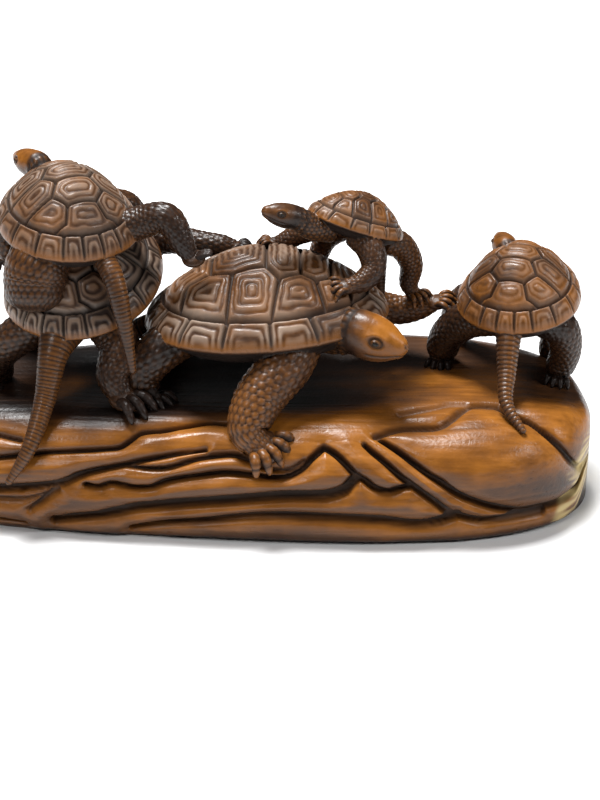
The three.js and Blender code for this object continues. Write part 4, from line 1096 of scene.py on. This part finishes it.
def mix_node(tree, factor, a, b):
    node = tree.nodes.new("ShaderNodeMix")
    node.data_type = "RGBA"
    for socket, value in ((node.inputs[0], factor), (node.inputs[6], a), (node.inputs[7], b)):
        if isinstance(value, tuple):
            socket.default_value = (*value, 1)
        else:
            tree.links.new(value, socket)
    return node.outputs[2]


def swing(tree, value, amount):
    """Takes a value about 0.5 to one about 0, so that it makes another uneven by that amount."""
    return math_node(tree, "MULTIPLY", math_node(tree, "SUBTRACT", value, 0.5), amount)


def noise_node(tree, vector, scale, detail):
    noise = tree.nodes.new("ShaderNodeTexNoise")
    noise.inputs["Detail"].default_value = detail
    tree.links.new(vector, noise.inputs["Vector"])
    if isinstance(scale, (int, float)):
        noise.inputs["Scale"].default_value = scale
    else:
        tree.links.new(scale, noise.inputs["Scale"])
    return noise.outputs[0]


groups = {}


# %% Streaks
def streaks_group():
    """Fine streaks that run along the log and broad patches, both as values about 0.5."""
    tree, inward, outward = node_group(
        "wood_streaks", [("Across", "Float", 600.0), ("Along", "Float", 60.0)],
        [("Streaks", "Float"), ("Patches", "Float")])
    place = tree.nodes.new("ShaderNodeTexCoord").outputs["Object"]
    stretch = tree.nodes.new("ShaderNodeCombineXYZ")
    for axis, label in enumerate(("Along", "Across", "Across")):
        tree.links.new(inward.outputs[label], stretch.inputs[axis])
    scaled = tree.nodes.new("ShaderNodeVectorMath")
    scaled.operation = "MULTIPLY"
    tree.links.new(place, scaled.inputs[0])
    tree.links.new(stretch.outputs[0], scaled.inputs[1])
    tree.links.new(noise_node(tree, scaled.outputs[0], 1.0, 3.0), outward.inputs["Streaks"])
    tree.links.new(noise_node(tree, place, 80.0, 4.0), outward.inputs["Patches"])
    return tree


groups["streaks"] = streaks_group()
print("made", groups["streaks"].name)


# %% Stain
STAIN = ((0.0, (0.006, 0.0035, 0.0028)), (0.3, (0.026, 0.012, 0.007)), (0.55, (0.075, 0.031, 0.012)),
         (0.8, (0.20, 0.070, 0.010)), (1.0, (0.36, 0.130, 0.017)))  # from the thickest stain to the thinnest
# The crests' orange stands for wear and, on the log's strands and the tails, a painted highlight.
WEAR_AND_HIGHLIGHT_COLOUR, HOLLOW_COLOUR, EYE_COLOUR = (0.30, 0.115, 0.027), (0.011, 0.0055, 0.0035), (0.006, 0.005, 0.004)
ROUGHNESS = 0.34  # of handled, waxed wood; hollows and bare wood are rougher


def colour_group():
    """The stain and painted light: dark in hollows, orange on crests from wear and painted highlights, near
    black in the eyes, the bare colour where bare.
    """
    tree, inward, outward = node_group(
        "boxwood_stain_and_painted_light",
        [*((label, "Float", 0.0) for label in ("Tone", "Hollow", "Crest", "Eye", "Bare")),
         ("Bare colour", "Color", (0.5, 0.4, 0.2, 1)), ("Streaks", "Float", 0.5), ("Patches", "Float", 0.5)],
        [("Colour", "Color"), ("Roughness", "Float")])
    take = lambda label: inward.outputs[label]
    tone = math_node(tree, "ADD", take("Tone"), swing(tree, take("Patches"), 0.6))
    tone = math_node(tree, "ADD", tone, swing(tree, take("Streaks"), 0.3))
    ramp = tree.nodes.new("ShaderNodeValToRGB")
    tree.links.new(tone, ramp.inputs[0])
    while len(ramp.color_ramp.elements) < len(STAIN):
        ramp.color_ramp.elements.new(0.5)
    for element, (at, colour) in zip(ramp.color_ramp.elements, STAIN):
        element.position, element.color = at, (*colour, 1)
    colour = ramp.outputs[0]
    for label, share, over in (("Crest", 0.55, WEAR_AND_HIGHLIGHT_COLOUR), ("Hollow", 0.87, HOLLOW_COLOUR),
                               ("Eye", 1.0, EYE_COLOUR), ("Bare", 1.0, take("Bare colour"))):
        colour = mix_node(tree, math_node(tree, "MULTIPLY", take(label), share, True), colour, over)
    tree.links.new(colour, outward.inputs["Colour"])
    rough = math_node(tree, "ADD", math_node(tree, "MULTIPLY", take("Hollow"), 0.3), ROUGHNESS)
    rough = math_node(tree, "ADD", rough, swing(tree, take("Streaks"), 0.35))
    rough = math_node(tree, "ADD", rough, math_node(tree, "MULTIPLY", take("Bare"), 0.15))
    rough = math_node(tree, "SUBTRACT", rough, math_node(tree, "MULTIPLY", take("Crest"), 0.06), True)
    tree.links.new(rough, outward.inputs["Roughness"])
    return tree


groups["colour"] = colour_group()
print("made", groups["colour"].name)


# %% Blade marks
def marks_group():
    """The unevenness that a small blade leaves, as a normal."""
    tree, inward, outward = node_group(
        "blade_marks", [("Strength", "Float", 0.3), ("Scale", "Float", 900.0), ("Streaks", "Float", 0.5)],
        [("Normal", "Vector")])
    place = tree.nodes.new("ShaderNodeTexCoord").outputs["Object"]
    grain = math_node(tree, "MULTIPLY", inward.outputs["Streaks"], 0.8)
    height = math_node(tree, "ADD", noise_node(tree, place, inward.outputs["Scale"], 3.0), grain)
    bump = tree.nodes.new("ShaderNodeBump")
    bump.inputs["Distance"].default_value = 0.0003
    tree.links.new(inward.outputs["Strength"], bump.inputs["Strength"])
    tree.links.new(height, bump.inputs["Height"])
    tree.links.new(bump.outputs[0], outward.inputs["Normal"])
    return tree


groups["marks"] = marks_group()
print("made", groups["marks"].name)


# %% [markdown]
# The turtles and the log are the same wood. The log's streaks run along it, and where it's torn
# its bare wood is pale yellow. On the shells, the bare mask stands for a film of pale dust with a
# painted sheen on the ridges of the rings.

# %% Materials
def boxwood(name, across, along, marks, shine, bare):
    """Waxed boxwood: streaks per metre across and along, the blade's marks, gloss and bare colour."""
    material = bpy.data.materials.new(name)
    material.use_nodes = True
    tree = material.node_tree
    principled = tree.nodes["Principled BSDF"]
    use = {}
    for label, group in groups.items():
        use[label] = tree.nodes.new("ShaderNodeGroup")
        use[label].node_tree = group
    use["streaks"].inputs["Across"].default_value = across
    use["streaks"].inputs["Along"].default_value = along
    for label in MASKS:
        mask = tree.nodes.new("ShaderNodeAttribute")
        mask.attribute_name = label
        tree.links.new(mask.outputs["Fac"], use["colour"].inputs[label.capitalize()])
    for label in ("Streaks", "Patches"):
        tree.links.new(use["streaks"].outputs[label], use["colour"].inputs[label])
    tree.links.new(use["streaks"].outputs["Streaks"], use["marks"].inputs["Streaks"])
    use["marks"].inputs["Strength"].default_value = marks
    tree.links.new(use["colour"].outputs["Colour"], principled.inputs["Base Color"])
    tree.links.new(use["colour"].outputs["Roughness"], principled.inputs["Roughness"])
    tree.links.new(use["marks"].outputs["Normal"], principled.inputs["Normal"])
    use["colour"].inputs["Bare colour"].default_value = bare
    principled.inputs["Specular IOR Level"].default_value = shine
    return material


# On the turtles, the bare colour is pale dust with a painted sheen.
turtle_wood = boxwood(
    "turtle_boxwood", across=500.0, along=500.0, marks=0.25, shine=0.3, bare=(0.42, 0.33, 0.26, 1))
log_wood = boxwood("log_boxwood", across=700.0, along=60.0, marks=0.35, shine=0.3, bare=(0.55, 0.42, 0.19, 1))
for name, piece in pieces.items():
    piece.data.materials.clear()
    piece.data.materials.append(log_wood if name == "driftwood_log" else turtle_wood)
    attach(piece, "root")
    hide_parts(NODE)
print("turtles in", turtle_wood.name, "and the log in", log_wood.name)


# %% [markdown]
# ## Floor, light and camera
# The photograph shows the carving on a white sweep under soft light from above and a little to
# the left. A large lamp overhead makes the soft shadow, and two small ones from the sides put
# points of light on the wax. The camera stands in front and looks down at about 25 degrees.

# %% Floor and lights
FLOOR_ACROSS = 14  # metres, so that no view shows its edge
bpy.ops.mesh.primitive_plane_add(size=FLOOR_ACROSS)
floor = bpy.context.object
floor.name = "floor"
pale = bpy.data.materials.new("pale_floor")
pale.use_nodes = True
pale.node_tree.nodes["Principled BSDF"].inputs["Base Color"].default_value = (0.9, 0.9, 0.9, 1)
pale.node_tree.nodes["Principled BSDF"].inputs["Roughness"].default_value = 0.9
floor.data.materials.append(pale)


def area_light(name, place, aim, size, power):
    data = bpy.data.lights.new(name, "AREA")
    data.size, data.energy = size, power
    light = bpy.data.objects.new(name, data)
    bpy.context.scene.collection.objects.link(light)
    light.location = place
    light.rotation_mode = "QUATERNION"
    light.rotation_quaternion = (Vector(aim) - Vector(place)).to_track_quat("-Z", "Y")


area_light("top", (-0.35, 0.5, 2.45), (0, 0, 0.03), size=0.85, power=116.0)
area_light("key", (-0.9, -1.2, 1.5), (0, 0, 0.04), size=0.4, power=9.0)
area_light("rim", (1.3, -0.5, 1.0), (0, 0, 0.04), size=0.35, power=8.0)
world = bpy.data.worlds.new("studio")
bpy.context.scene.world = world
world.use_nodes = True
world.node_tree.nodes["Background"].inputs["Color"].default_value = (1, 1, 1, 1)
world.node_tree.nodes["Background"].inputs["Strength"].default_value = 0.07
bpy.context.scene.view_settings.view_transform = "Standard"

# %% Camera
SENSOR, LENS = 36.0, 84.375  # the sensor's height is the picture's height
AIM, DISTANCE, LOOK_DOWN = np.array([19.5, 0, 30]), 600.0, math.radians(25)
camera_data = bpy.data.cameras.new("camera")
camera_data.sensor_fit = "VERTICAL"
camera_data.sensor_height = camera_data.sensor_width = SENSOR
camera_data.lens = LENS
camera_data.clip_start = 0.01
camera = bpy.data.objects.new("camera", camera_data)
bpy.context.scene.collection.objects.link(camera)
stand = AIM + DISTANCE * np.array([0, -math.cos(LOOK_DOWN), math.sin(LOOK_DOWN)])
camera.location = [value * MM for value in stand]
camera.rotation_euler = (math.pi / 2 - LOOK_DOWN, 0, 0)
bpy.context.scene.camera = camera
print("the camera sees", round(DISTANCE * SENSOR / LENS), "mm from top to bottom at the carving")
